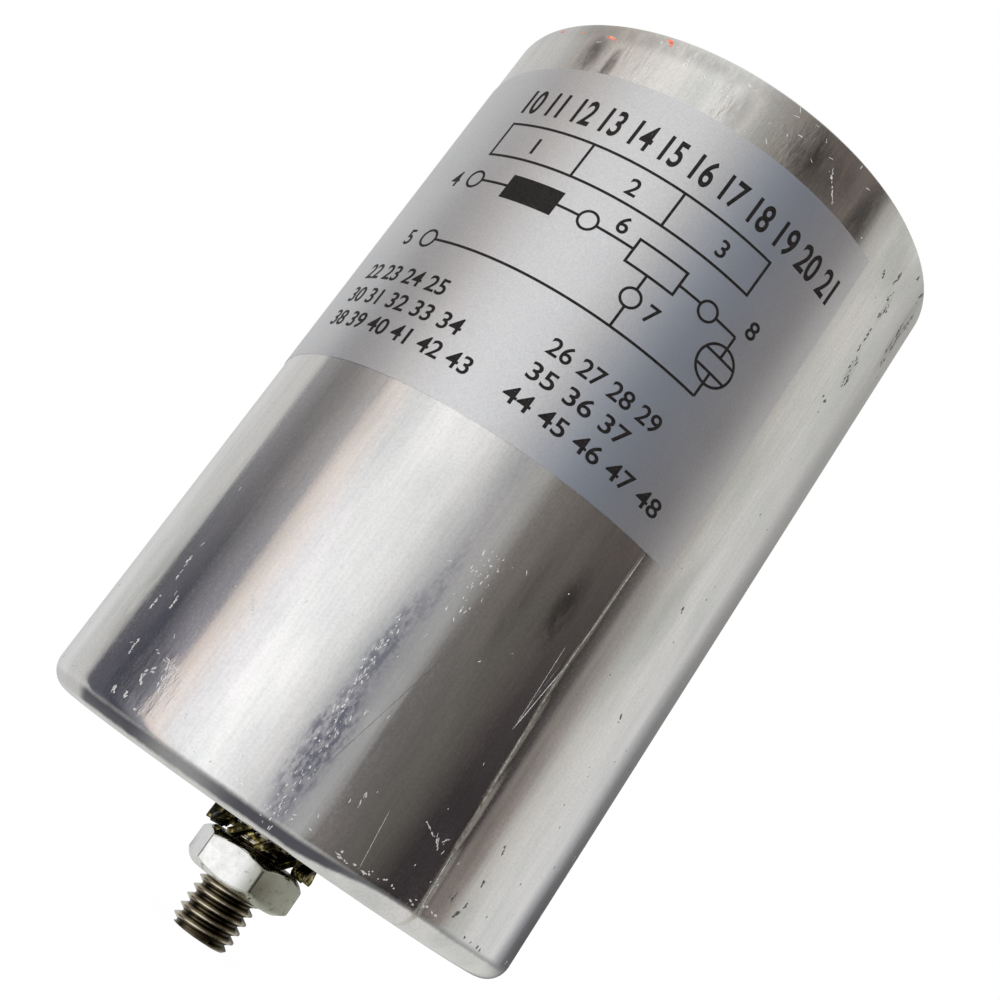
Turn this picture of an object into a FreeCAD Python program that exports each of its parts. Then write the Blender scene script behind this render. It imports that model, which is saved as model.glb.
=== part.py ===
"""Lamp ignitor: a resin-filled aluminium can held by an M8 stud in its base.

The origin is the centre of the can's base, +Z runs up the can's axis to the
terminals, and the rating label is centred on the -Y side. Lengths are in mm.
"""
import FreeCAD, Part

import os
import re

import Sketcher

doc = FreeCAD.newDocument("lamp_ignitor")


# The driving dimensions: name, value in mm (or as said), and what it is.
SIZES = [
    ("can_radius", 32.5, "outer radius of the can"),
    ("can_height", 101.5, "base to rim"),
    ("can_wall", 1.0, "side wall of the can"),
    ("base_thickness", 1.2, "base of the can"),
    ("base_corner", 3.0, "outer corner radius between base and side"),
    ("rim_break", 0.3, "broken edge of the cut rim"),
    ("label_width", 70.0, "label, measured round the can"),
    ("label_height", 46.0, "label, along the can"),
    ("label_low", 47.6, "base to the label's lower edge"),
    ("label_film", 0.12, "thickness of the label"),
    ("stud_radius", 4.0, "M8 thread, over its crests"),
    ("stud_reach", 14.5, "base to the stud's tip"),
    ("stud_tip", 0.55, "chamfer at the stud's tip"),
    ("stud_gap", 0.15, "stud to the hole in the base, radial"),
    ("stud_head_radius", 9.0, "head of the stud, inside the can"),
    ("stud_head_height", 2.5, "thickness of that head"),
    ("stud_head_edge", 0.5, "chamfer on the head's edge"),
    ("pitch_radius", 3.594, "M8 thread, at its pitch line, where nut and stud meet"),
    ("nut_flats", 13.0, "nut, across its flats"),
    ("nut_height", 5.0, "thin nut"),
    ("nut_face_radius", 5.8, "flat ring left by the nut's corner chamfer"),
    ("nut_chamfer_angle", 30.0, "slope of that chamfer, in degrees"),
    ("nut_sink", 0.6, "countersink at each end of the nut's thread"),
    ("nut_turn", 9.4, "turn of the nut on the stud, in degrees"),
    ("washer_bore_radius", 4.2, "hole of the star washer"),
    ("washer_ring_radius", 5.9, "ring that carries the teeth"),
    ("washer_radius", 7.5, "over the teeth"),
    ("washer_sheet", 0.8, "spring sheet of the star washer"),
    ("tooth_count", 12, "teeth of the star washer"),
    ("tooth_root", 2.9, "width of a tooth at the ring"),
    ("tooth_bite", 0.3, "root of a tooth inside the ring's edge"),
    ("tooth_width", 3.3, "width of a tooth at its tip"),
    ("tooth_twist", 43.0, "twist of a tooth about its own radius, in degrees"),
    ("cover_gap", 0.15, "terminal cover to the can's wall, radial"),
    ("cover_drop", 1.5, "can's rim to the cover's face"),
    ("cover_thickness", 3.0, "disc of the terminal cover"),
    ("cover_edge", 0.6, "chamfer on the cover's upper edge"),
    ("pole_pitch", 12.0, "terminal to terminal"),
    ("pole_count", 3, "terminals"),
    ("block_depth", 18.0, "terminal block, front to back"),
    ("block_height", 5.0, "terminal block above the cover's face"),
    ("rib_width", 2.0, "barrier rib between terminals"),
    ("rib_height", 5.0, "barrier rib above the block"),
    ("rib_round", 0.8, "round on a barrier rib's upper corners"),
    ("well_radius", 2.6, "well under a terminal screw"),
    ("well_depth", 6.5, "depth of that well"),
    ("plate_width", 8.0, "terminal plate, side to side"),
    ("plate_length", 13.5, "terminal plate, front to back"),
    ("plate_thickness", 1.2, "brass of the terminal plate"),
    ("tail_width", 4.0, "tail of the terminal plate"),
    ("tail_reach", 5.0, "tail below the terminal cover"),
    ("slot_gap", 0.1, "tail to its slot in the cover, each side"),
    ("screw_radius", 2.0, "M4 thread, over its crests"),
    ("screw_pitch_radius", 1.773, "M4 thread, at its pitch line"),
    ("screw_tip", 0.4, "chamfer at the screw's tip"),
    ("screw_length", 8.0, "terminal screw under its head"),
    ("screw_head_radius", 3.8, "cheese head"),
    ("screw_head_height", 2.4, "cheese head"),
    ("screw_head_edge", 0.4, "chamfer on the head's upper edge"),
    ("slot_width", 1.0, "driver slot"),
    ("slot_depth", 1.2, "driver slot"),
    ("clamp_side", 8.0, "square clamp plate"),
    ("clamp_thickness", 1.0, "square clamp plate"),
    ("clamp_hole_radius", 2.2, "hole of the clamp plate"),
    ("clamp_corner", 0.5, "corner radius of the clamp plate"),
    ("liner_gap", 0.2, "insulating sleeve to the can's wall, radial"),
    ("liner_wall", 0.8, "insulating sleeve"),
    ("disc_thickness", 1.0, "insulating disc on the stud's head"),
    ("core_lift", 3.0, "insulating disc to the ferrite core"),
    ("window_width", 9.0, "ferrite core, between its middle and outer legs"),
    ("core_half_height", 21.0, "one half of the core"),
    ("core_depth", 15.0, "ferrite core, front to back"),
    ("core_yoke", 6.0, "yoke that joins the legs"),
    ("leg_width", 12.0, "middle leg"),
    ("side_leg_width", 6.0, "each outer leg"),
    ("bobbin_wall", 1.2, "bobbin tube and flanges"),
    ("bobbin_corner", 2.0, "corner radius of the windings on the bobbin"),
    ("flange_rise", 0.6, "bobbin flange above the windings"),
    ("bobbin_gap", 1.1, "bobbin flange to the core's outer legs"),
    ("primary_build", 1.6, "pulse winding over it, radial"),
    ("primary_height", 9.0, "pulse winding, along the leg"),
    ("board_lift", 7.0, "ferrite core to the circuit board"),
    ("board_gap", 2.5, "circuit board to the insulating sleeve, radial"),
    ("board_thickness", 1.6, "circuit board"),
    ("pin_radius", 0.4, "component pins"),
    ("pin_stub", 1.5, "pin below the board"),
    ("pin_inset", 2.0, "pin from the end of its component"),
    ("pulse_cap_length", 26.0, "pulse capacitor"),
    ("pulse_cap_width", 10.0, "pulse capacitor"),
    ("pulse_cap_height", 19.0, "pulse capacitor"),
    ("bypass_cap_length", 18.0, "bypass capacitor"),
    ("bypass_cap_width", 7.0, "bypass capacitor"),
    ("bypass_cap_height", 13.0, "bypass capacitor"),
    ("resistor_length", 20.0, "charging resistor"),
    ("resistor_side", 6.5, "charging resistor, square section"),
    ("gap_cap_radius", 4.0, "metal caps of the spark gap"),
    ("gap_tube_step", 0.4, "ceramic below the caps, radial"),
    ("gap_tube_length", 6.0, "ceramic of the spark gap"),
    ("gap_cap_length", 1.0, "metal cap at each end of the spark gap"),
    ("part_corner", 0.8, "chamfer on the upright corners of the moulded components"),
    ("pulse_cap_y", -6.5, "middle of the pulse capacitor, front to back"),
    ("resistor_y", 15.5, "middle of the charging resistor"),
    ("part_spacing", 2.5, "pulse capacitor to the bypass capacitor and to the spark gap"),
    ("lead_radius", 1.5, "lead wire over its insulation"),
]
SIZE_NAMES = {name for name, value, note in SIZES}

sheet = doc.addObject("Spreadsheet::Sheet", "sizes")
for row, (name, value, note) in enumerate(SIZES, start=1):
    sheet.set(f"A{row}", note)
    sheet.set(f"B{row}", str(value))
    sheet.setAlias(f"B{row}", name)
doc.recompute()


def bound(text):
    """An expression in which each size's name points at the sheet."""
    def cell(match):
        word = match.group(0)
        return "sizes." + word if word in SIZE_NAMES else word
    return re.sub(r"[a-z][a-z_0-9]*", cell, str(text))


def number(text):
    """What that expression comes to now."""
    return float(sheet.evalExpression(bound(text)))


def tie(feature, **properties):
    """Bind properties of a feature to expressions of the sizes."""
    for name, text in properties.items():
        feature.setExpression(name, bound(text))


def new_body(name):
    body = doc.addObject("PartDesign::Body", name)
    body.Label = name
    return body


def place(body, x="0", y="0", z="0", turn="0"):
    """Put a body at x, y, z, turned about its own upright axis."""
    body.Placement.Rotation.Axis = FreeCAD.Vector(0, 0, 1)
    body.setExpression("Placement.Base.x", bound(x))
    body.setExpression("Placement.Base.y", bound(y))
    body.setExpression("Placement.Base.z", bound(z))
    body.setExpression("Placement.Rotation.Angle", bound(turn))


def role(body, name):
    """One of the body's own origin planes or axes."""
    return next(f for f in body.Origin.OriginFeatures if f.Role == name)


def sketch(body, name, plane="XZ_Plane", lift="0", turn="0"):
    """A sketch on an origin plane, lifted along the plane's normal and turned in it."""
    drawing = body.newObject("Sketcher::SketchObject", body.Name + "_" + name)
    drawing.AttachmentSupport = [(role(body, plane), "")]
    drawing.MapMode = "FlatFace"
    drawing.AttachmentOffset.Rotation.Axis = FreeCAD.Vector(0, 0, 1)
    drawing.setExpression("AttachmentOffset.Base.z", bound(lift))
    drawing.setExpression("AttachmentOffset.Rotation.Angle", bound(turn))
    return drawing


def dimension(drawing, kind, geometry, point, text):
    """One driven distance of a sketch, from the sketch's own origin or of one curve."""
    if kind == "Radius":
        constraint = Sketcher.Constraint(kind, geometry, number(text))
    else:
        constraint = Sketcher.Constraint(kind, -1, 1, geometry, point, number(text))
    index = drawing.addConstraint(constraint)
    drawing.setExpression(f"Constraints[{index}]", bound(text))


def outline(drawing, corners):
    """A closed outline of straight lines through corners given as expressions."""
    places = [FreeCAD.Vector(number(x), number(y), 0) for x, y in corners]
    lines = []
    for start, end in zip(places, places[1:] + places[:1]):
        lines.append(drawing.addGeometry(Part.LineSegment(start, end), False))
    for line, following in zip(lines, lines[1:] + lines[:1]):
        drawing.addConstraint(Sketcher.Constraint("Coincident", line, 2, following, 1))
    for line, (x, y) in zip(lines, corners):
        dimension(drawing, "DistanceX", line, 1, x)
        dimension(drawing, "DistanceY", line, 1, y)
    return drawing


def rectangle(drawing, width, height, x="0", y="0"):
    """A rectangle about x, y."""
    left, right = f"({x}) - ({width}) / 2", f"({x}) + ({width}) / 2"
    low, high = f"({y}) - ({height}) / 2", f"({y}) + ({height}) / 2"
    return outline(drawing, [(left, low), (right, low), (right, high), (left, high)])


def circle(drawing, radius, x="0", y="0"):
    centre = FreeCAD.Vector(number(x), number(y), 0)
    normal = FreeCAD.Vector(0, 0, 1)
    ring = drawing.addGeometry(Part.Circle(centre, normal, number(radius)), False)
    dimension(drawing, "Radius", ring, 0, radius)
    dimension(drawing, "DistanceX", ring, 3, x)
    dimension(drawing, "DistanceY", ring, 3, y)
    return drawing


def spin(body, drawing, kind="Revolution"):
    """Turn a half section about the upright axis, as a solid or as a cut."""
    feature = body.newObject("PartDesign::" + kind, drawing.Name + "_turned")
    feature.Profile = drawing
    feature.ReferenceAxis = (drawing, ["V_Axis"])
    drawing.Visibility = False
    return feature


def pad(body, drawing, length, symmetric=False, downwards=False):
    feature = body.newObject("PartDesign::Pad", drawing.Name + "_pad")
    feature.Profile = drawing
    feature.SideType = "Symmetric" if symmetric else "One side"
    feature.Reversed = downwards
    tie(feature, Length=length)
    return feature


def pocket(body, drawing, length=None):
    """A cut from the sketch downwards, or right through."""
    feature = body.newObject("PartDesign::Pocket", drawing.Name + "_pocket")
    feature.Profile = drawing
    feature.SideType = "One side"
    if length is None:
        feature.Type = "ThroughAll"
    else:
        tie(feature, Length=length)
    return feature


def edges(feature, wanted):
    """The names of the feature's edges that the test wants."""
    doc.recompute()
    return [f"Edge{i}" for i, edge in enumerate(feature.Shape.Edges, start=1) if wanted(edge)]


def is_circle(edge, radius, height):
    """Is this edge a circle about the upright axis, of that radius, at that height?"""
    curve = edge.Curve
    return (
        isinstance(curve, Part.Circle)
        and abs(curve.Radius - number(radius)) < 1e-6
        and abs(curve.Center.z - number(height)) < 1e-6
    )


def is_upright(edge):
    """Is this edge a straight one that runs up?"""
    return (
        isinstance(edge.Curve, Part.Line)
        and abs(edge.Curve.Direction.z) > 1 - 1e-9
    )


def soften(body, feature, names, kind="Fillet", **sizes):
    """Round or chamfer some edges of the body's newest feature."""
    finish = body.newObject("PartDesign::" + kind, f"{feature.Name}_{kind.lower()}")
    finish.Base = (feature, names)
    tie(finish, **sizes)
    return finish


# Heights that more than one piece needs, worked out from the sizes.
CAN_BORE = "(can_radius - can_wall)"
WASHER_HEIGHT = "(tooth_width * sin(tooth_twist * 1 deg) + washer_sheet * cos(tooth_twist * 1 deg))"
NUT_LOW = f"(-{WASHER_HEIGHT} - nut_height)"
DISC_LOW = "(base_thickness + stud_head_height)"
DISC_TOP = f"({DISC_LOW} + disc_thickness)"
COVER_FACE = "(can_height - cover_drop)"
COVER_LOW = f"({COVER_FACE} - cover_thickness)"
BLOCK_TOP = f"({COVER_FACE} + block_height)"
PLATE_TOP = f"({BLOCK_TOP} + plate_thickness)"
CLAMP_TOP = f"({PLATE_TOP} + clamp_thickness)"
TAIL_LOW = f"({COVER_LOW} - tail_reach)"
LINER_RADIUS = f"({CAN_BORE} - liner_gap)"
CORE_LOW = f"({DISC_TOP} + core_lift)"
BOARD_LOW = f"({CORE_LOW} + 2 * core_half_height + board_lift)"
BOARD_TOP = f"({BOARD_LOW} + board_thickness)"
BOARD_RADIUS = f"({LINER_RADIUS} - liner_wall - board_gap)"
BYPASS_CAP_Y = "(pulse_cap_y - (pulse_cap_width + bypass_cap_width) / 2 - part_spacing)"
SPARK_GAP_X = "(pulse_cap_length / 2 + part_spacing + gap_cap_radius)"

# The core's window, and how far the flange and the windings reach from the middle leg.
WINDOW = "(2 * (core_half_height - core_yoke))"
FLANGE_OUT = "(window_width - bobbin_gap)"
PRIMARY_OUT = f"({FLANGE_OUT} - flange_rise)"
SECONDARY_OUT = f"({PRIMARY_OUT} - primary_build)"

# Where a terminal plate's tail and its lead are, front to back.
TAIL_Y = "((plate_length - plate_thickness) / 2)"

# The lid, which sits in the can's mouth.
COVER_RADIUS = f"({CAN_BORE} - cover_gap)"


def build_can():
    """Deep-drawn cup: one section turned about the axis, with the stud's hole in its base."""
    body = new_body("can")
    hole = "stud_radius + stud_gap"
    section = outline(sketch(body, "section"), [
        (hole, "0"),
        ("can_radius", "0"),
        ("can_radius", "can_height"),
        (CAN_BORE, "can_height"),
        (CAN_BORE, "base_thickness"),
        (hole, "base_thickness"),
    ])
    cup = spin(body, section)
    outer = edges(cup, lambda e: is_circle(e, "can_radius", "0"))
    corner = soften(body, cup, outer, Radius="base_corner")
    inner = edges(corner, lambda e: is_circle(e, CAN_BORE, "base_thickness"))
    corner = soften(body, corner, inner, Radius="base_corner - can_wall")
    rim = edges(corner, lambda e: (is_circle(e, "can_radius", "can_height")
                                   or is_circle(e, CAN_BORE, "can_height")))
    soften(body, corner, rim, "Chamfer", Size="rim_break")
    return body


def build_stud():
    """Turned stud with a flat head: inside the nut it is drawn at the thread's pitch line."""
    body = new_body("mounting_stud")
    section = outline(sketch(body, "section"), [
        ("0", DISC_LOW),
        ("stud_head_radius - stud_head_edge", DISC_LOW),
        ("stud_head_radius", f"{DISC_LOW} - stud_head_edge"),
        ("stud_head_radius", "base_thickness"),
        ("stud_radius", "base_thickness"),
        ("stud_radius", f"-{WASHER_HEIGHT}"),
        ("pitch_radius", f"-{WASHER_HEIGHT}"),
        ("pitch_radius", NUT_LOW),
        ("stud_radius", NUT_LOW),
        ("stud_radius", "-(stud_reach - stud_tip)"),
        ("stud_radius - stud_tip", "-stud_reach"),
        ("0", "-stud_reach"),
    ])
    spin(body, section)
    return body


def build_washer():
    """Stamped ring whose teeth are flat blades, each turned about its own radius."""
    body = new_body("star_washer")
    ring = sketch(body, "ring", "XY_Plane")
    teeth_count = int(number("tooth_count"))
    corner_radius = "(washer_ring_radius / cos(180 deg / tooth_count))"
    turns = [f"(({tooth} + 0.5) * 360 deg / tooth_count)" for tooth in range(teeth_count)]
    outline(ring, [
        (f"{corner_radius} * cos({turn})", f"{corner_radius} * sin({turn})") for turn in turns
    ])
    circle(ring, "washer_bore_radius")
    pad(body, ring, "washer_sheet", symmetric=True)
    root = sketch(body, "tooth_root", "YZ_Plane", "washer_ring_radius - tooth_bite", "tooth_twist")
    rectangle(root, "tooth_root", "washer_sheet")
    tip = sketch(body, "tooth_tip", "YZ_Plane", "washer_radius", "tooth_twist")
    rectangle(tip, "tooth_width", "washer_sheet")
    tooth = body.newObject("PartDesign::AdditiveLoft", "star_washer_tooth")
    tooth.Profile = root
    tooth.Sections = [tip]
    tooth.Ruled = True
    teeth = body.newObject("PartDesign::PolarPattern", "star_washer_teeth")
    teeth.Originals = [tooth]
    teeth.Axis = (role(body, "Z_Axis"), [""])
    teeth.Angle = 360
    tie(teeth, Occurrences="tooth_count")
    body.Tip = teeth
    place(body, z=f"-{WASHER_HEIGHT} / 2")
    return body


def build_nut():
    """Hexagon with both ends turned to a cone, which leaves the arcs on its flats."""
    body = new_body("hex_nut")
    corner_radius = "(nut_flats / (2 * cos(30 deg)))"
    flats = sketch(body, "flats", "XY_Plane")
    outline(flats, [
        (f"{corner_radius} * cos({60 * i} deg)", f"{corner_radius} * sin({60 * i} deg)")
        for i in range(6)
    ])
    pad(body, flats, "nut_height")
    bore = circle(sketch(body, "bore", "XY_Plane", "nut_height"), "pitch_radius")
    pocket(body, bore)
    beyond = "nut_flats"
    slope = f"({beyond} - nut_face_radius) * tan(nut_chamfer_angle * 1 deg)"
    cones = sketch(body, "cones")
    for face, inward in (("0", "+"), ("nut_height", "-")):
        outline(cones, [
            ("nut_face_radius", face),
            (beyond, face),
            (beyond, f"{face} {inward} {slope}"),
        ])
        outline(cones, [
            ("pitch_radius", face),
            ("pitch_radius + nut_sink", face),
            ("pitch_radius", f"{face} {inward} nut_sink"),
        ])
    spin(body, cones, "Groove")
    place(body, z=NUT_LOW, turn="nut_turn")
    return body


def build_label():
    """Film wrapped round the can: a thin section turned by the label's own width."""
    body = new_body("rating_label")
    section = outline(sketch(body, "section", "YZ_Plane"), [
        ("-can_radius", "label_low"),
        ("-can_radius - label_film", "label_low"),
        ("-can_radius - label_film", "label_low + label_height"),
        ("-can_radius", "label_low + label_height"),
    ])
    film = spin(body, section)
    film.Midplane = True
    tie(film, Angle="label_width / can_radius * 180 / pi")
    return body


def pole_x(pole):
    """Where a pole stands, side to side, counted from one."""
    return f"pole_pitch * ({pole} - (pole_count + 1) / 2)"


def build_cover():
    """One moulding: the lid's disc, the terminal block, its barrier ribs, wells and slots."""
    body = new_body("terminal_cover")
    disc = circle(sketch(body, "disc", "XY_Plane"), COVER_RADIUS)
    lid = pad(body, disc, "cover_thickness")
    upper = edges(lid, lambda e: is_circle(e, COVER_RADIUS, "cover_thickness"))
    soften(body, lid, upper, "Chamfer", Size="cover_edge")
    block_width = "(pole_pitch * pole_count + rib_width)"
    block = sketch(body, "block", "XY_Plane", "cover_thickness")
    pad(body, rectangle(block, block_width, "block_depth"), "block_height")
    ribs = sketch(body, "ribs", "XY_Plane", "cover_thickness + block_height")
    for rib in range(int(number("pole_count")) + 1):
        rectangle(ribs, "rib_width", "block_depth", x=f"pole_pitch * ({rib} - pole_count / 2)")
    barriers = pad(body, ribs, "rib_height")
    rib_top = number("cover_thickness + block_height + rib_height")
    ends = edges(barriers, lambda e: (abs(e.BoundBox.ZMin - rib_top) < 1e-6
                                      and e.BoundBox.YLength < 1e-6))
    soften(body, barriers, ends, Radius="rib_round")
    wells = sketch(body, "wells", "XY_Plane", "cover_thickness + block_height")
    slots = sketch(body, "slots", "XY_Plane", "cover_thickness + block_height")
    for pole in range(1, int(number("pole_count")) + 1):
        circle(wells, "well_radius", x=pole_x(pole))
        rectangle(slots, "tail_width + 2 * slot_gap", "plate_thickness + 2 * slot_gap",
                  x=pole_x(pole), y=TAIL_Y)
    pocket(body, wells, "well_depth")
    pocket(body, slots)
    place(body, z=COVER_LOW)
    return body


def build_terminal_plate(pole):
    """Brass strip under the screw, bent down at the back into a tail."""
    body = new_body(f"terminal_plate_{pole}")
    strip = sketch(body, "strip", "XY_Plane")
    pad(body, rectangle(strip, "plate_width", "plate_length"), "plate_thickness")
    tail = sketch(body, "tail", "XY_Plane")
    rectangle(tail, "tail_width", "plate_thickness", y=TAIL_Y)
    pad(body, tail, f"{BLOCK_TOP} - {TAIL_LOW}", downwards=True)
    hole = circle(sketch(body, "hole", "XY_Plane", "plate_thickness"), "screw_pitch_radius")
    pocket(body, hole, "plate_thickness")
    place(body, x=pole_x(pole), z=BLOCK_TOP)
    return body


def build_clamp_plate(pole):
    """Square plate that the screw presses on the wire."""
    body = new_body(f"clamp_plate_{pole}")
    square = sketch(body, "square", "XY_Plane")
    rectangle(square, "clamp_side", "clamp_side")
    circle(square, "clamp_hole_radius")
    plate = pad(body, square, "clamp_thickness")
    soften(body, plate, edges(plate, is_upright), Radius="clamp_corner")
    place(body, x=pole_x(pole), z=PLATE_TOP)
    return body


def build_terminal_screw(pole):
    """Slotted cheese-head screw: in the plate's thread it is drawn at the pitch line."""
    body = new_body(f"terminal_screw_{pole}")
    section = outline(sketch(body, "section"), [
        ("0", "screw_head_height"),
        ("screw_head_radius - screw_head_edge", "screw_head_height"),
        ("screw_head_radius", "screw_head_height - screw_head_edge"),
        ("screw_head_radius", "0"),
        ("screw_radius", "0"),
        ("screw_radius", "-clamp_thickness"),
        ("screw_pitch_radius", "-clamp_thickness"),
        ("screw_pitch_radius", "-clamp_thickness - plate_thickness"),
        ("screw_radius", "-clamp_thickness - plate_thickness"),
        ("screw_radius", "-(screw_length - screw_tip)"),
        ("screw_radius - screw_tip", "-screw_length"),
        ("0", "-screw_length"),
    ])
    spin(body, section)
    past_head = "3 * screw_head_radius"
    slot = sketch(body, "slot", "XY_Plane", "screw_head_height")
    pocket(body, rectangle(slot, past_head, "slot_width"), "slot_depth")
    place(body, x=pole_x(pole), z=CLAMP_TOP)
    return body


def build_liner():
    """Pressboard disc on the stud's head, and the sleeve that stands on it under the cover."""
    disc = new_body("insulating_disc")
    pad(disc, circle(sketch(disc, "round", "XY_Plane"), LINER_RADIUS), "disc_thickness")
    place(disc, z=DISC_LOW)
    sleeve = new_body("insulating_sleeve")
    ring = sketch(sleeve, "ring", "XY_Plane")
    circle(ring, LINER_RADIUS)
    circle(ring, f"{LINER_RADIUS} - liner_wall")
    pad(sleeve, ring, f"{COVER_LOW} - {DISC_TOP}")
    place(sleeve, z=DISC_TOP)
    return [disc, sleeve]


def build_core_half(name, height, sign):
    """One E of the ferrite core, its yoke at the given height and its legs towards the other."""
    body = new_body(name)
    middle = "leg_width / 2"
    inner = "(leg_width / 2 + window_width)"
    half = "(leg_width / 2 + window_width + side_leg_width)"
    yoke = f"{sign}core_yoke"
    legs = f"{sign}core_half_height"
    section = outline(sketch(body, "section"), [
        (f"-{half}", "0"),
        (half, "0"),
        (half, legs),
        (inner, legs),
        (inner, yoke),
        (middle, yoke),
        (middle, legs),
        (f"-{middle}", legs),
        (f"-{middle}", yoke),
        (f"-{inner}", yoke),
        (f"-{inner}", legs),
        (f"-{half}", legs),
    ])
    pad(body, section, "core_depth", symmetric=True)
    place(body, z=height)
    return body


def winding_ring(body, name, lift, inner, outer):
    """A rectangular ring round the middle leg, between two distances from it."""
    ring = sketch(body, name, "XY_Plane", lift)
    rectangle(ring, f"leg_width + 2 * ({outer})", f"core_depth + 2 * ({outer})")
    rectangle(ring, f"leg_width + 2 * ({inner})", f"core_depth + 2 * ({inner})")
    return ring


def build_bobbin():
    """Moulded former on the middle leg: a tube between two flanges."""
    body = new_body("coil_bobbin")
    tube = winding_ring(body, "tube", "0", "0", "bobbin_wall")
    pad(body, tube, WINDOW)
    for name, lift in (("lower", "0"), ("upper", f"{WINDOW} - bobbin_wall")):
        pad(body, winding_ring(body, name, lift, "0", FLANGE_OUT), "bobbin_wall")
    place(body, z=f"{CORE_LOW} + core_yoke")
    return body


def build_winding(name, height, lift, inner, outer):
    """A winding as one wound block with rounded outer corners."""
    body = new_body(name)
    block = pad(body, winding_ring(body, "turns", "0", inner, outer), height)
    reach = number(f"leg_width / 2 + ({outer})")
    corners = edges(block, lambda e: is_upright(e) and abs(abs(e.CenterOfMass.x) - reach) < 1e-6)
    soften(body, block, corners, Radius="bobbin_corner")
    place(body, z=lift)
    return body


def pins(body, places, seat="0"):
    """Two or more pins from the component, at its seat's height, down through the board."""
    feet = sketch(body, "pins", "XY_Plane", seat)
    for x, y in places:
        circle(feet, "pin_radius", x=x, y=y)
    pad(body, feet, f"{seat} + board_thickness + pin_stub", downwards=True)


def end_pins(length):
    """A pin near each end of a component, from its own middle."""
    reach = f"({length} / 2 - pin_inset)"
    return [(f"-{reach}", "0"), (reach, "0")]


PULSE_CAP_PINS = end_pins("pulse_cap_length")
BYPASS_CAP_PINS = end_pins("bypass_cap_length")
RESISTOR_PINS = end_pins("resistor_length")
GAP_PIN_Y = "((gap_tube_length + gap_cap_length) / 2)"
GAP_PINS = [("0", f"-{GAP_PIN_Y}"), ("0", GAP_PIN_Y)]


def build_box_component(name, length, width, height, y, feet):
    """A potted component in a moulded box, standing on the board."""
    body = new_body(name)
    box = pad(body, rectangle(sketch(body, "case", "XY_Plane"), length, width), height)
    soften(body, box, edges(box, is_upright), "Chamfer", Size="part_corner")
    pins(body, feet)
    place(body, y=y, z=BOARD_TOP)
    return body


def build_spark_gap():
    """Ceramic tube between two metal caps, lying on the board."""
    body = new_body("spark_gap")
    axis = "gap_cap_radius"
    cap_top = "2 * gap_cap_radius"
    tube_top = f"{cap_top} - gap_tube_step"
    half = "gap_tube_length / 2"
    end = f"({half} + gap_cap_length)"
    section = outline(sketch(body, "section", "YZ_Plane"), [
        (f"-{end}", axis),
        (end, axis),
        (end, cap_top),
        (half, cap_top),
        (half, tube_top),
        (f"-{half}", tube_top),
        (f"-{half}", cap_top),
        (f"-{end}", cap_top),
    ])
    drum = body.newObject("PartDesign::Revolution", "spark_gap_drum")
    drum.Profile = section
    drum.ReferenceAxis = (section, ["Edge1"])
    inside_caps = "gap_cap_radius / 2"
    pins(body, GAP_PINS, seat=inside_caps)
    place(body, x=SPARK_GAP_X, z=BOARD_TOP)
    return body


def build_board():
    """Round laminate board with a hole for each pin, which its solder fills."""
    body = new_body("circuit_board")
    laminate = circle(sketch(body, "round", "XY_Plane"), BOARD_RADIUS)
    pad(body, laminate, "board_thickness")
    holes = sketch(body, "holes", "XY_Plane", "board_thickness")
    groups = [
        (PULSE_CAP_PINS, "0", "pulse_cap_y"),
        (BYPASS_CAP_PINS, "0", BYPASS_CAP_Y),
        (RESISTOR_PINS, "0", "resistor_y"),
        (GAP_PINS, SPARK_GAP_X, "0"),
    ]
    for feet, middle_x, middle_y in groups:
        for x, y in feet:
            circle(holes, "pin_radius", x=f"{middle_x} + {x}", y=f"{middle_y} + {y}")
    pocket(body, holes)
    place(body, z=BOARD_LOW)
    return body


def build_lead(pole):
    """Insulated wire from under the terminal plate's tail straight down to the board."""
    body = new_body(f"lead_wire_{pole}")
    wire = circle(sketch(body, "wire", "XY_Plane"), "lead_radius")
    pad(body, wire, f"{TAIL_LOW} - {BOARD_TOP}")
    place(body, x=pole_x(pole), y=TAIL_Y, z=BOARD_TOP)
    return body


def build_resin(contents):
    """Potting resin: all the room inside the sleeve that the inner pieces leave."""
    fill = doc.addObject("Part::Cylinder", "resin_fill")
    tie(fill, Radius=f"{LINER_RADIUS} - liner_wall", Height=f"{COVER_LOW} - {DISC_TOP}")
    fill.setExpression("Placement.Base.z", bound(DISC_TOP))
    potted = doc.addObject("Part::MultiFuse", "potted_pieces")
    potted.Shapes = contents
    resin = doc.addObject("Part::Cut", "potting_resin")
    resin.Base = fill
    resin.Tool = potted
    resin.Label = "potting_resin"
    return resin


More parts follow.
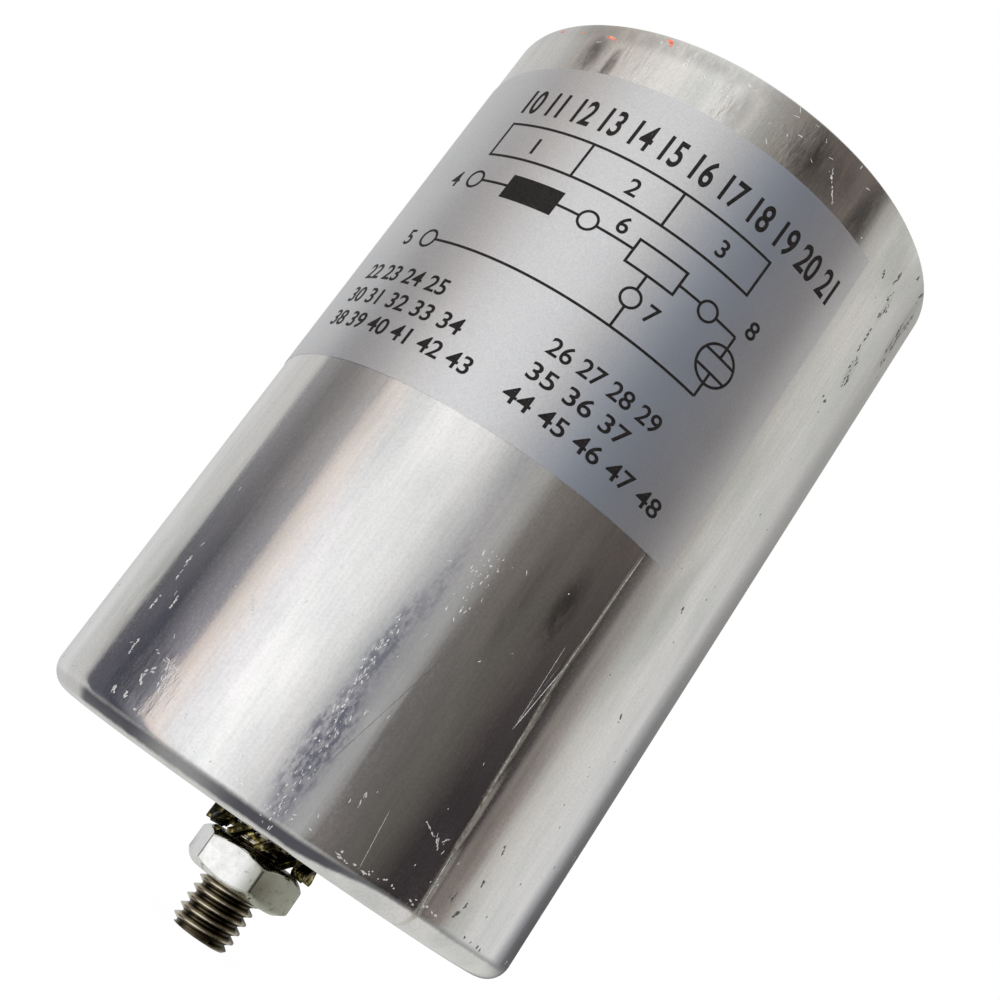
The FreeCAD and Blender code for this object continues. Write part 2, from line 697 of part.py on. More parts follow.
poles = range(1, int(number("pole_count")) + 1)
plates = [build_terminal_plate(pole) for pole in poles]
outer_pieces = [build_can(), build_stud(), build_washer(), build_nut(), build_label(), build_cover()]
outer_pieces += [build_clamp_plate(pole) for pole in poles]
outer_pieces += [build_terminal_screw(pole) for pole in poles]
liners = build_liner()
potted_pieces = [
    build_core_half("core_lower", CORE_LOW, ""),
    build_core_half("core_upper", f"{CORE_LOW} + 2 * core_half_height", "-"),
    build_bobbin(),
    build_winding("secondary_winding", f"{WINDOW} - 2 * bobbin_wall",
                  f"{CORE_LOW} + core_yoke + bobbin_wall", "bobbin_wall", SECONDARY_OUT),
    build_winding("primary_winding", "primary_height",
                  f"{CORE_LOW} + core_half_height - primary_height / 2",
                  SECONDARY_OUT, PRIMARY_OUT),
    build_board(),
    build_box_component("pulse_capacitor", "pulse_cap_length", "pulse_cap_width",
                        "pulse_cap_height", "pulse_cap_y", PULSE_CAP_PINS),
    build_box_component("bypass_capacitor", "bypass_cap_length", "bypass_cap_width",
                        "bypass_cap_height", BYPASS_CAP_Y, BYPASS_CAP_PINS),
    build_box_component("charging_resistor", "resistor_length", "resistor_side",
                        "resistor_side", "resistor_y", RESISTOR_PINS),
    build_spark_gap(),
]
potted_pieces += [build_lead(pole) for pole in poles]
doc.recompute()
resin = build_resin(potted_pieces + plates)
doc.recompute()

pieces = outer_pieces + plates + liners + potted_pieces + [resin]
faults = [f"{o.Name}: {o.State}" for o in doc.Objects if {"Invalid", "Error"} & set(o.State)]
faults += [p.Label for p in pieces if p.Shape.isNull() or not p.Shape.isValid()]
if faults:
    raise SystemExit("not built: " + "; ".join(faults))

os.makedirs("parts", exist_ok=True)
for piece in pieces:
    piece.Shape.exportStep(f"parts/{piece.Label}.step")
    solids = len(piece.Shape.Solids)
    print(f"{piece.Label}: {solids} solid, {piece.Shape.Volume:.1f} mm3")
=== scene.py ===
"""Dresses the lamp ignitor: a potted aluminium can with a threaded stud in its base.

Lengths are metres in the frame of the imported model, with the can's base at zero height,
its axis along Z and the label centred on the -Y side.
"""

import math
import random

import bmesh
import bpy
from mathutils import Matrix, Vector


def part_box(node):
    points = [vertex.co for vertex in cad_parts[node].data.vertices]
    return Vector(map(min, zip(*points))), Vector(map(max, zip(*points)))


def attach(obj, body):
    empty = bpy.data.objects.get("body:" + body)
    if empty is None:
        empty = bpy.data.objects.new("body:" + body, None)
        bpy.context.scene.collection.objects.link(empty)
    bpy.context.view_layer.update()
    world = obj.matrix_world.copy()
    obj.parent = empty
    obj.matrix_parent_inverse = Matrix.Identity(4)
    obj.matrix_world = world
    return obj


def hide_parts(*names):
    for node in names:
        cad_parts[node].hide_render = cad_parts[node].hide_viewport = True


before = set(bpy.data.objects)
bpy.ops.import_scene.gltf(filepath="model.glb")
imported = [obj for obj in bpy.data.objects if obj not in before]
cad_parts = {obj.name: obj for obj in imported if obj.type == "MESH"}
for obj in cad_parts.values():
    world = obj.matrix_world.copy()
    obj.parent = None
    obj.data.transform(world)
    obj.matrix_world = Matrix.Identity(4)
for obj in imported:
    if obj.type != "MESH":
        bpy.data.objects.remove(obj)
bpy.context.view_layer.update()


# The camera. It stands level with the can's base and leans over, so that the can lies
# across the picture with its stud at the lower left.
MM = 0.001
camera_place = Vector((75.12, -162.10, 4.63)) * MM
camera_aim = Vector((-0.22, -0.10, 50.18)) * MM
camera_lean = math.radians(34.95)
camera_data = bpy.data.cameras.new("camera")
camera_data.lens = 51.31
camera_data.clip_start = 10 * MM
camera = bpy.data.objects.new("camera", camera_data)
camera.matrix_world = (
    Matrix.Translation(camera_place)
    @ (camera_aim - camera_place).to_track_quat("-Z", "Y").to_matrix().to_4x4()
    @ Matrix.Rotation(camera_lean, 4, "Z")
)
bpy.context.scene.collection.objects.link(camera)
bpy.context.scene.camera = camera


# The can. It is deep drawn from aluminium sheet: one cup with a rounded lower corner and a
# plain cut rim. Drawing leaves fine streaks along the axis, and handling has scratched and
# smudged the wall, most of all near the rim; some darker patches near the rim are painted shade.
_, can_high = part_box("can")
CAN_RADIUS = can_high.x / MM
CAN_HEIGHT = can_high.z / MM
CAN_WALL = 1.0
BASE_THICKNESS = 1.2
BASE_CORNER = 3.0
RIM_BREAK = 0.3
STUD_HOLE = 4.15
CAN_STEPS = 256
OUTER_CORNER_STEPS = 10
INNER_CORNER_STEPS = 8
MERGE_WITHIN = 0.001


def colour(code):
    """A colour written as sRGB hex, as the linear values that shaders take."""
    parts = [int(code[i:i + 2], 16) / 255 for i in (1, 3, 5)]
    return [p / 12.92 if p <= 0.04045 else ((p + 0.055) / 1.055) ** 2.4 for p in parts] + [1]


def add(tree, kind, inputs=(), stops=None, **settings):
    """One node with its settings, its inputs by name or in their order, and its ramp stops.

    An input is a value, an output, or a node whose first output in use is taken."""
    node = tree.nodes.new(kind)
    for name, value in settings.items():
        setattr(node, name, value)
    for name, value in inputs.items() if isinstance(inputs, dict) else enumerate(inputs):
        if isinstance(value, bpy.types.Node):
            value = next(output for output in value.outputs if output.enabled)
        if isinstance(value, bpy.types.NodeSocket):
            tree.links.new(value, node.inputs[name])
        else:
            node.inputs[name].default_value = value
    if stops:
        elements = node.color_ramp.elements
        while len(elements) < len(stops):
            elements.new(1)
        for element, (place, code) in zip(elements, stops):
            element.position = place
            element.color = colour(code)
    return node


def new_material(name, **surface):
    """A material with one Principled shader, whose constants are set by socket name."""
    made = bpy.data.materials.new(name)
    made.use_nodes = True
    shader = made.node_tree.nodes["Principled BSDF"]
    for socket, value in surface.items():
        shader.inputs[socket.replace("_", " ").title().replace("Ior", "IOR")].default_value = value
    return made, made.node_tree, shader


def turned(corners, arcs=None, steps=CAN_STEPS):
    """A half section of (radius, height) corners in mm, spun about the can's axis.

    It is closed, but has no edge along the axis. arcs gives some right-angled corners, by
    their number, a radius and its segments."""
    bm = bmesh.new()
    outline = [bm.verts.new((radius * MM, 0, height * MM)) for radius, height in corners]
    for start, end in zip(outline, outline[1:] + outline[:1]):
        if start.co.x or end.co.x:
            bm.edges.new((start, end))
    for corner, (radius, segments) in (arcs or {}).items():
        bmesh.ops.bevel(bm, geom=[outline[corner]], affect="VERTICES", offset=radius * MM,
                        segments=segments, profile=0.5, material=-1)
    bmesh.ops.spin(bm, geom=bm.verts[:] + bm.edges[:], axis=(0, 0, 1), cent=(0, 0, 0),
                   angle=math.tau, steps=steps, use_merge=True)
    bmesh.ops.remove_doubles(bm, verts=bm.verts, dist=MERGE_WITHIN * MM)
    bmesh.ops.recalc_face_normals(bm, faces=bm.faces)
    return bm


def piece(bm, name, material, replaced=None, smooth_under=30):
    """A finished piece of the object: edges sharper than the given angle stay crisp."""
    mesh = bpy.data.meshes.new(name)
    bm.to_mesh(mesh)
    bm.free()
    mesh.materials.append(material)
    mesh.shade_smooth()
    mesh.set_sharp_from_angle(angle=math.radians(smooth_under))
    made = bpy.data.objects.new(name, mesh)
    bpy.context.scene.collection.objects.link(made)
    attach(made, "root")
    if replaced:
        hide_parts(replaced)


# Drawn aluminium: a bright metal with a fine dusty grain, faint streaks along the wall and a
# slow waviness that bends what it mirrors. A dull dark band of painted reflection runs round the
# lower corner, standing for something dark that the corner mirrors; it narrows to a thin line on
# the +X side, and fades out on the -X side.
GRAIN_SIZE = 0.32
GRAIN_DEPTH = 0.002
PIT_SIZE = 0.5
PIT_STRETCH = 0.4
STREAK_SPACING = 0.35
STREAK_STRETCH = 0.03
STREAK_DEPTH = 0.0003
MOTTLE_SIZE = 1.3
PATCH_SIZE = 5.0
WAVE_SIZE = 14.0
WAVE_DEPTH = 0.05
PATCH_STRETCH = 0.3
MARK_RAGGEDNESS = 1.4
MARK_CORE = 0.35
MARK_EDGE = 1.2
DENT_DEPTH = 0.22
can_metal, tree, shader = new_material("drawn_aluminium", metallic=1.0)
location = add(tree, "ShaderNodeTexCoord").outputs["Object"]
axes = add(tree, "ShaderNodeSeparateXYZ", [location])
bearing = add(tree, "ShaderNodeMath", [axes.outputs["Y"], axes.outputs["X"]], operation="ARCTAN2")
along_wall = add(tree, "ShaderNodeMapping", {"Vector": location, "Scale": (1, 1, STREAK_STRETCH)})
streaks = add(tree, "ShaderNodeTexNoise", {
    "Vector": along_wall, "Scale": 1 / (STREAK_SPACING * MM), "Detail": 3})
drawn_out = add(tree, "ShaderNodeMapping", {"Vector": location, "Scale": (1, 1, PATCH_STRETCH)})
waves = add(tree, "ShaderNodeTexNoise", {
    "Vector": drawn_out, "Scale": 1 / (WAVE_SIZE * MM), "Detail": 1})
patches = add(tree, "ShaderNodeTexNoise", {
    "Vector": drawn_out, "Scale": 1 / (PATCH_SIZE * MM), "Detail": 3})
mottle = add(tree, "ShaderNodeTexNoise", {
    "Vector": drawn_out, "Scale": 1 / (MOTTLE_SIZE * MM), "Detail": 5, "Roughness": 0.65})
along_pits = add(tree, "ShaderNodeMapping", {"Vector": location, "Scale": (1, 1, PIT_STRETCH)})
pitting = add(tree, "ShaderNodeTexNoise", {
    "Vector": along_pits, "Scale": 1 / (PIT_SIZE * MM), "Detail": 4, "Roughness": 0.6})
grain = add(tree, "ShaderNodeTexNoise", {
    "Vector": location, "Scale": 1 / (GRAIN_SIZE * MM), "Detail": 3, "Roughness": 0.6})
ragged = add(tree, "ShaderNodeMath", [mottle, 0.5], operation="SUBTRACT")


def marked(marks, share):
    """The deepest of some ragged marks at each point of the wall, broken up by a share.

    A mark is degrees round, mm up, mm wide, mm tall and its depth from 0 to 1."""
    deepest = 0.0
    for azimuth, height, wide, tall, depth in marks:
        aside = add(tree, "ShaderNodeMath", [bearing, math.radians(azimuth)], operation="SUBTRACT")
        aside = add(tree, "ShaderNodeMath", [aside, 2 * CAN_RADIUS / wide], operation="MULTIPLY")
        up = add(tree, "ShaderNodeMath", [axes.outputs["Z"], height * MM], operation="SUBTRACT")
        up = add(tree, "ShaderNodeMath", [up, 2 / (tall * MM)], operation="MULTIPLY")
        offset = add(tree, "ShaderNodeCombineXYZ", [aside, up])
        reach = add(tree, "ShaderNodeVectorMath", [offset], operation="LENGTH")
        reach = add(tree, "ShaderNodeMath", [ragged, MARK_RAGGEDNESS, reach], operation="MULTIPLY_ADD")
        inside = add(tree, "ShaderNodeMapRange", [reach, MARK_CORE, MARK_EDGE, depth, 0.0],
                     interpolation_type="SMOOTHSTEP")
        deepest = add(tree, "ShaderNodeMath", [inside, deepest], operation="MAXIMUM")
    return add(tree, "ShaderNodeMath", [deepest, share], operation="MULTIPLY")


# Smudges are where it was gripped, and the broad ones near the rim are painted shade that darkens
# what the wall mirrors there; dapples are lines of tiny dull pits, dents bend what the wall
# mirrors, and rubs are dull strips under the longest scratches.
smudges_and_painted_shade = marked([
    (-66, 14, 9, 36, 0.16),
    (-58.5, 17, 1.0, 24, 0.3),
    (-43.5, 36.5, 3.2, 11, 0.7),
    (-51.5, 35, 2.6, 16, 0.35),
    (-36, 29, 1.8, 12, 0.6),
    (-108, 96.5, 3.8, 8, 0.75),
    (-101.5, 94.8, 2.0, 7, 0.8),
    (-92, 100, 34, 3.4, 0.3),
    (-71, 96, 3, 9, 0.3),
    (-54, 97, 6, 10, 0.75),
    (-45, 97, 6, 9, 0.3),
    (-36.5, 95.5, 4.2, 13, 0.65),
    (-17, 97, 9, 8, 0.12),
    (-0.5, 95, 4.2, 14, 0.42),
    (-14.8, 92.6, 1.3, 5, 0.3),
    (-12.8, 83.4, 2.2, 5, 0.3),
    (-21, 44, 6, 16, 0.14),
    (-118, 12, 7, 22, 0.25),
    (-104.5, 6, 7, 9, 0.25),
    (115, 60, 16, 40, 0.2),
    (170, 25, 14, 30, 0.25),
], add(tree, "ShaderNodeMapRange", [mottle, 0.34, 0.6, 0.35, 1.0], interpolation_type="SMOOTHSTEP"))
dapples = marked([
    (-66.8, 10.5, 4.4, 17, 0.8),
    (-67.2, 21, 3.0, 18, 0.65),
    (-65.5, 30, 2.2, 14, 0.35),
    (-107, 7, 7, 9, 0.4),
    (60, 20, 6, 30, 0.4),
    (145, 70, 5, 26, 0.4),
], add(tree, "ShaderNodeMapRange", [pitting, 0.4, 0.6, 0.15, 1.0], interpolation_type="SMOOTHSTEP"))
dents = marked([
    (-102.5, 6, 9, 6, 0.3),
    (-109, 8, 4, 5, 0.12),
    (-79, 95.5, 7, 7, 0.5),
    (-100, 95, 9, 7, 0.5),
    (-50, 96, 12, 9, 0.4),
    (20, 97, 14, 8, 0.5),
    (130, 95, 18, 9, 0.5),
], patches)
rubs = marked([
    (-33.4, 5, 1.1, 12, 1.0),
    (-34.2, 13, 1.0, 14, 1.0),
    (-35.3, 22, 0.8, 14, 0.9),
    (-36.1, 31, 0.7, 14, 0.7),
    (-35.6, 40, 0.7, 16, 0.7),
    (-103.5, 28, 3.6, 50, 0.22),
    (-106.5, 20, 1.4, 30, 0.2),
    (140, 30, 1.2, 40, 0.8),
], add(tree, "ShaderNodeMapRange", [mottle, 0.3, 0.5, 0.6, 1.0], interpolation_type="SMOOTHSTEP"))

# The band of painted reflection lies between its foot and its top. It fades out at -X and is
# weaker near the middle.
across_can = axes.outputs["X"]
band_height = add(tree, "ShaderNodeMath", [ragged, 0.3 * MM, axes.outputs["Z"]],
                  operation="MULTIPLY_ADD")
band_foot = add(tree, "ShaderNodeMapRange", [across_can, 15 * MM, 26 * MM, 0.3 * MM, 1.9 * MM],
                interpolation_type="SMOOTHSTEP")
band_top = add(tree, "ShaderNodeMapRange", [across_can, 15 * MM, 27 * MM, 2.1 * MM, 2.9 * MM],
               interpolation_type="SMOOTHSTEP")
over_band_foot = add(tree, "ShaderNodeMath", [band_height, band_foot], operation="SUBTRACT")
under_band_top = add(tree, "ShaderNodeMath", [band_top, band_height], operation="SUBTRACT")
off_middle = add(tree, "ShaderNodeMath", [across_can, 2 * MM], operation="SUBTRACT")
off_middle = add(tree, "ShaderNodeMath", [off_middle], operation="ABSOLUTE")
painted_reflection_band = 1.0
for value, start, end, low, high in (
        (across_can, -16, -13.8, 0.25, 1.0), (across_can, 18, 28, 1.0, 0.5),
        (off_middle, 1, 8, 0.6, 1.0), (over_band_foot, 0, 0.4, 0.0, 1.0),
        (under_band_top, 0, 0.7, 0.0, 1.0)):
    share = add(tree, "ShaderNodeMapRange", [value, start * MM, end * MM, low, high],
                interpolation_type="SMOOTHSTEP")
    painted_reflection_band = add(tree, "ShaderNodeMath", [painted_reflection_band, share], operation="MULTIPLY")

tint = add(tree, "ShaderNodeValToRGB", [patches], stops=[(0.38, "#edeeed"), (0.62, "#fdfbfa")])
for pattern, dull in ((streaks, "#f8f8f8"), (grain, "#f4f4f5")):
    shade = add(tree, "ShaderNodeValToRGB", [pattern], stops=[(0.34, dull), (0.6, "#ffffff")])
    tint = add(tree, "ShaderNodeMix", {"Factor": 1.0, "A": tint, "B": shade},
               data_type="RGBA", blend_type="MULTIPLY")
# The band's colour is a painted dark reflection, and part of the smudges' colour is painted shade.
for share, stain_and_painted_shade in (
        (smudges_and_painted_shade, "#4b4845"), (dapples, "#74768c"), (painted_reflection_band, "#66666f"), (rubs, "#e4e0d8")):
    tint = add(tree, "ShaderNodeMix", {"Factor": share, "A": tint, "B": colour(stain_and_painted_shade)}, data_type="RGBA")
tree.links.new(tint.outputs["Result"], shader.inputs["Base Color"])
rough = add(tree, "ShaderNodeMapRange", [mottle, 0.35, 0.7, 0.05, 0.1], interpolation_type="SMOOTHSTEP")
for pattern, start, end, dullness in ((grain, 0.5, 0.7, 0.08), (patches, 0.5, 0.65, 0.04)):
    more = add(tree, "ShaderNodeMapRange", [pattern, start, end, 0.0, dullness],
               interpolation_type="SMOOTHSTEP")
    rough = add(tree, "ShaderNodeMath", [rough, more], operation="ADD")
for share, dullness in ((smudges_and_painted_shade, 0.2), (dapples, 0.2), (painted_reflection_band, 0.3), (rubs, 0.45)):
    rough = add(tree, "ShaderNodeMath", [share, dullness, rough], operation="MULTIPLY_ADD")
tree.links.new(rough.outputs["Value"], shader.inputs["Roughness"])
relief = add(tree, "ShaderNodeBump", {"Height": waves, "Distance": WAVE_DEPTH * MM})
for pattern, depth in ((streaks, STREAK_DEPTH), (grain, GRAIN_DEPTH), (dents, DENT_DEPTH)):
    relief = add(tree, "ShaderNodeBump", {"Height": pattern, "Distance": depth * MM, "Normal": relief})
tree.links.new(relief.outputs["Normal"], shader.inputs["Normal"])

can_inside = CAN_RADIUS - CAN_WALL
can_mesh = turned([
    (STUD_HOLE, 0),
    (CAN_RADIUS, 0),
    (CAN_RADIUS, CAN_HEIGHT - RIM_BREAK),
    (CAN_RADIUS - RIM_BREAK, CAN_HEIGHT),
    (can_inside + RIM_BREAK, CAN_HEIGHT),
    (can_inside, CAN_HEIGHT - RIM_BREAK),
    (can_inside, BASE_THICKNESS),
    (STUD_HOLE, BASE_THICKNESS),
], arcs={1: (BASE_CORNER, OUTER_CORNER_STEPS), 6: (BASE_CORNER - CAN_WALL, INNER_CORNER_STEPS)})
piece(can_mesh, "drawn_can", can_metal, "can", smooth_under=40)


# The mounting stud. It is turned from bar, with a flat head inside the can, and its M8
# thread is cut below the base. The steel's colour is brown and darker in the thread's valleys,
# which is painted shade, and darker towards +X, which is a painted dark reflection.
THREAD_CREST = 4.0
THREAD_PITCH = 1.25
THREAD_DEPTH = 0.767
CREST_FLAT = 0.156
THREAD_FLANK = 0.443
CREST_AT = 0.655
STUD_TIP_CHAMFER = 0.55
STEPS_PER_TURN = 96
HEAD_EDGE = 0.5
THREAD_START = -2.0
GRIME_SIZE = 0.9
LATHE_SPACING = 0.08
LATHE_DEPTH = 0.003
VALLEY_EDGE = 0.15
THREAD_MERGE = 0.002
CUT_WITHIN = 0.0001
stud_low, stud_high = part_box("mounting_stud")
STUD_REACH = stud_low.z / MM
HEAD_RADIUS = stud_high.x / MM
HEAD_TOP = stud_high.z / MM
steel, tree, shader = new_material("turned_steel", metallic=1.0, roughness=0.2)
location = add(tree, "ShaderNodeTexCoord").outputs["Object"]
axes = add(tree, "ShaderNodeSeparateXYZ", [location])
from_axis = add(tree, "ShaderNodeCombineXYZ", [axes.outputs["X"], axes.outputs["Y"]])
from_axis = add(tree, "ShaderNodeVectorMath", [from_axis], operation="LENGTH")
# Painted shade: the colour darkens towards the roots of the thread's valleys.
valley_painted_shade = add(tree, "ShaderNodeMapRange", [
    from_axis, (THREAD_CREST - THREAD_DEPTH) * MM, (THREAD_CREST - VALLEY_EDGE) * MM])
grime = add(tree, "ShaderNodeTexNoise", {
    "Vector": location, "Scale": 1 / (GRIME_SIZE * MM), "Detail": 4})
wear_and_painted_shade = add(tree, "ShaderNodeMath", [grime, 0.5, valley_painted_shade], operation="MULTIPLY_ADD")
# Painted dark reflection: the colour darkens towards the +X side.
painted_dark_side = add(tree, "ShaderNodeMapRange", [axes.outputs["X"], -0.5 * MM, 3 * MM],
              interpolation_type="SMOOTHSTEP")
wear_and_painted_shade = add(tree, "ShaderNodeMath", [painted_dark_side, -0.4, wear_and_painted_shade], operation="MULTIPLY_ADD")
steel_tint = add(tree, "ShaderNodeValToRGB", [wear_and_painted_shade],
                 stops=[(0.15, "#443d30"), (0.55, "#857c69"), (1.0, "#d8d1c0")])
tree.links.new(steel_tint.outputs["Color"], shader.inputs["Base Color"])
lathe = add(tree, "ShaderNodeTexNoise", {
    "W": axes.outputs["Z"], "Scale": 1 / (LATHE_SPACING * MM), "Detail": 2}, noise_dimensions="1D")
cut = add(tree, "ShaderNodeBump", {"Height": lathe, "Strength": 0.5, "Distance": LATHE_DEPTH * MM})
tree.links.new(cut.outputs["Normal"], shader.inputs["Normal"])


def threaded_rod(top, tip):
    """A right-handed thread between two heights in mm: one pitch's profile, spun and cut."""
    bm = bmesh.new()
    root = THREAD_CREST - THREAD_DEPTH
    turns = math.ceil((top - tip) / THREAD_PITCH) + 3
    # The crest's middle is at CREST_AT above a whole pitch, on the +X side.
    crest_low = CREST_AT - CREST_FLAT / 2 - THREAD_PITCH
    profile = [
        (root, crest_low - THREAD_FLANK),
        (THREAD_CREST, crest_low),
        (THREAD_CREST, crest_low + CREST_FLAT),
        (root, crest_low + CREST_FLAT + THREAD_FLANK),
        (root, crest_low - THREAD_FLANK + THREAD_PITCH),
    ]
    lowest = (math.floor(tip / THREAD_PITCH) - 1) * THREAD_PITCH
    outline = [bm.verts.new((radius * MM, 0, (height + lowest) * MM)) for radius, height in profile]
    for start, end in zip(outline, outline[1:]):
        bm.edges.new((start, end))
    bmesh.ops.spin(bm, geom=bm.verts[:] + bm.edges[:], axis=(0, 0, 1), cent=(0, 0, 0),
                   dvec=(0, 0, THREAD_PITCH / STEPS_PER_TURN * MM), angle=math.tau * turns,
                   steps=STEPS_PER_TURN * turns)
    bmesh.ops.remove_doubles(bm, verts=bm.verts, dist=THREAD_MERGE * MM)
    for cut_height, up in ((top, 1), (tip, -1)):
        bmesh.ops.bisect_plane(bm, geom=bm.verts[:] + bm.edges[:] + bm.faces[:], dist=CUT_WITHIN * MM,
                               plane_co=(0, 0, cut_height * MM), plane_no=(0, 0, up), clear_outer=True)
    for vert in bm.verts:
        over_tip = vert.co.z / MM - tip
        limit = (THREAD_CREST - STUD_TIP_CHAMFER + over_tip) * MM
        reach = vert.co.xy.length
        if over_tip < STUD_TIP_CHAMFER and reach > limit:
            vert.co.xy *= limit / reach
    bmesh.ops.holes_fill(bm, edges=[edge for edge in bm.edges if edge.is_boundary])
    bmesh.ops.recalc_face_normals(bm, faces=bm.faces)
    return bm


stud_mesh = threaded_rod(THREAD_START, STUD_REACH)
head = turned([
    (0, HEAD_TOP),
    (HEAD_RADIUS - HEAD_EDGE, HEAD_TOP),
    (HEAD_RADIUS, HEAD_TOP - HEAD_EDGE),
    (HEAD_RADIUS, BASE_THICKNESS),
    (THREAD_CREST, BASE_THICKNESS),
    (THREAD_CREST, THREAD_START),
    (0, THREAD_START),
], steps=STEPS_PER_TURN)
head_mesh = bpy.data.meshes.new("stud_head")
head.to_mesh(head_mesh)
head.free()
stud_mesh.from_mesh(head_mesh)
bpy.data.meshes.remove(head_mesh)
piece(stud_mesh, "threaded_stud", steel, "mounting_stud", smooth_under=35)


# The star washer. It is stamped from spring sheet, and its teeth are twisted. Its yellow
# passivate is painted dark olive, as the shade between the can and the nut, with painted golden glints.
SHARP_OVER = 25
SMOOTH_UNDER = 35


def softened(nodes, edge, name, material, segments=2):
    """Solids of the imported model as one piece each, with their sharp edges broken by edge mm."""
    for node in nodes:
        bm = bmesh.new()
        bm.from_mesh(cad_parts[node].data)
        bmesh.ops.remove_doubles(bm, verts=bm.verts, dist=MERGE_WITHIN * MM)
        bmesh.ops.dissolve_limit(bm, angle_limit=math.radians(1), verts=bm.verts, edges=bm.edges)
        sharp = [e for e in bm.edges if e.calc_face_angle(0) > math.radians(SHARP_OVER)]
        bmesh.ops.bevel(bm, geom=sharp, affect="EDGES", offset=edge * MM, segments=segments,
                        profile=0.5, clamp_overlap=False, material=-1)
        suffix = node[-2:] if node[-1].isdigit() else ""
        piece(bm, name + suffix, material, node, smooth_under=SMOOTH_UNDER)


WASHER_EDGE = 0.1
BLOOM_SIZE = 0.9
BLOOM_DEPTH = 0.12
passivate, tree, shader = new_material("yellow_zinc_with_painted_shade", metallic=1.0, roughness=0.14)
location = add(tree, "ShaderNodeTexCoord").outputs["Object"]
bloom_and_glints = add(tree, "ShaderNodeTexNoise", {
    "Vector": location, "Scale": 1 / (BLOOM_SIZE * MM), "Detail": 4})
# The ramp paints the zinc very dark, as shade, with small bright golden patches as painted glints.
passivate_shade_and_glints = add(tree, "ShaderNodeValToRGB", [bloom_and_glints],
                     stops=[(0.40, "#181610"), (0.54, "#3d3820"), (0.62, "#8f8350"), (0.7, "#e6dca6")])
tree.links.new(passivate_shade_and_glints.outputs["Color"], shader.inputs["Base Color"])
hammered = add(tree, "ShaderNodeBump", {"Height": bloom_and_glints, "Distance": BLOOM_DEPTH * MM})
tree.links.new(hammered.outputs["Normal"], shader.inputs["Normal"])
softened(["star_washer"], WASHER_EDGE, "toothed_washer", passivate)


# The hexagon nut. It is cold formed and zinc plated; both ends are turned to a cone, which
# leaves arcs on its flats. The bright plate has small dull pits.
NUT_EDGE = 0.22
ZINC_PIT_SIZE = 0.9
ZINC_PIT_DEPTH = 0.012
zinc, tree, shader = new_material("bright_zinc_plate", metallic=1.0)
location = add(tree, "ShaderNodeTexCoord").outputs["Object"]
axes = add(tree, "ShaderNodeSeparateXYZ", [location])
pits = add(tree, "ShaderNodeTexNoise", {
    "Vector": location, "Scale": 1 / (ZINC_PIT_SIZE * MM), "Detail": 5, "Roughness": 0.7})
# The plate is darker, greener and more pitted towards +X.
toward_plus_x = add(tree, "ShaderNodeMapRange", [axes.outputs["X"], 2 * MM, 5 * MM],
             interpolation_type="SMOOTHSTEP")
pit = add(tree, "ShaderNodeMath", [toward_plus_x, -0.09, pits], operation="MULTIPLY_ADD")
zinc_tint = add(tree, "ShaderNodeValToRGB", [pit],
                stops=[(0.25, "#6f706a"), (0.33, "#ececea"), (0.7, "#fcfcfc")])
plus_x_share = add(tree, "ShaderNodeMath", [toward_plus_x, 0.75], operation="MULTIPLY")
zinc_colour = add(tree, "ShaderNodeMix", {"Factor": plus_x_share, "A": zinc_tint, "B": colour("#92957f")},
                  data_type="RGBA")
tree.links.new(zinc_colour.outputs["Result"], shader.inputs["Base Color"])
zinc_gloss = add(tree, "ShaderNodeMapRange", [pit, 0.3, 0.7, 0.24, 0.1], interpolation_type="SMOOTHSTEP")
tree.links.new(zinc_gloss.outputs["Result"], shader.inputs["Roughness"])
pitted = add(tree, "ShaderNodeBump", {"Height": pit, "Strength": 0.4, "Distance": ZINC_PIT_DEPTH * MM})
tree.links.new(pitted.outputs["Normal"], shader.inputs["Normal"])
softened(["hex_nut"], NUT_EDGE, "hexagon_nut", zinc, segments=3)


# The rating label. It is a silver film stuck round the can, printed in black with a
# terminal table, a wiring diagram and rows of plain figures.
label_low, label_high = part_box("rating_label")
LABEL_LOW = label_low.z / MM
LABEL_HIGH = label_high.z / MM
LABEL_RADIUS = -label_low.y / MM
LABEL_SWEEP = 2 * math.asin(label_high.x / MM / LABEL_RADIUS)
LABEL_STEPS = 192
FILM_GRAIN_SIZE = 0.25
FILM_GRAIN_DEPTH = 0.005
FILM_CLOUD_SIZE = 8.0
BLUE_CAST = 0.7
film, tree, shader = new_material("metallised_film", metallic=0.92)
location = add(tree, "ShaderNodeTexCoord").outputs["Object"]
across_film = add(tree, "ShaderNodeSeparateXYZ", [location]).outputs["X"]
film_grain = add(tree, "ShaderNodeTexNoise", {
    "Vector": location, "Scale": 1 / (FILM_GRAIN_SIZE * MM), "Detail": 3})
cloud = add(tree, "ShaderNodeTexNoise", {
    "Vector": location, "Scale": 1 / (FILM_CLOUD_SIZE * MM), "Detail": 3})
film_tint = add(tree, "ShaderNodeValToRGB", [film_grain], stops=[(0.25, "#d6d7dc"), (0.75, "#e8e8ea")])
blue_cast = BLUE_CAST
for start, end, low, high in ((11, 19, 0.0, 1.0), (20, 28, 1.0, 0.0)):
    share = add(tree, "ShaderNodeMapRange", [across_film, start * MM, end * MM, low, high],
                interpolation_type="SMOOTHSTEP")
    blue_cast = add(tree, "ShaderNodeMath", [blue_cast, share], operation="MULTIPLY")
film_colour = add(tree, "ShaderNodeMix", {"Factor": blue_cast, "A": film_tint, "B": colour("#c6d6f0")},
                  data_type="RGBA")
tree.links.new(film_colour.outputs["Result"], shader.inputs["Base Color"])
film_gloss = add(tree, "ShaderNodeMapRange", [cloud, 0.3, 0.7, 0.28, 0.32],
                 interpolation_type="SMOOTHSTEP")
tree.links.new(film_gloss.outputs["Result"], shader.inputs["Roughness"])
film_bump = add(tree, "ShaderNodeBump", {
    "Height": film_grain, "Strength": 0.2, "Distance": FILM_GRAIN_DEPTH * MM})
tree.links.new(film_bump.outputs["Normal"], shader.inputs["Normal"])

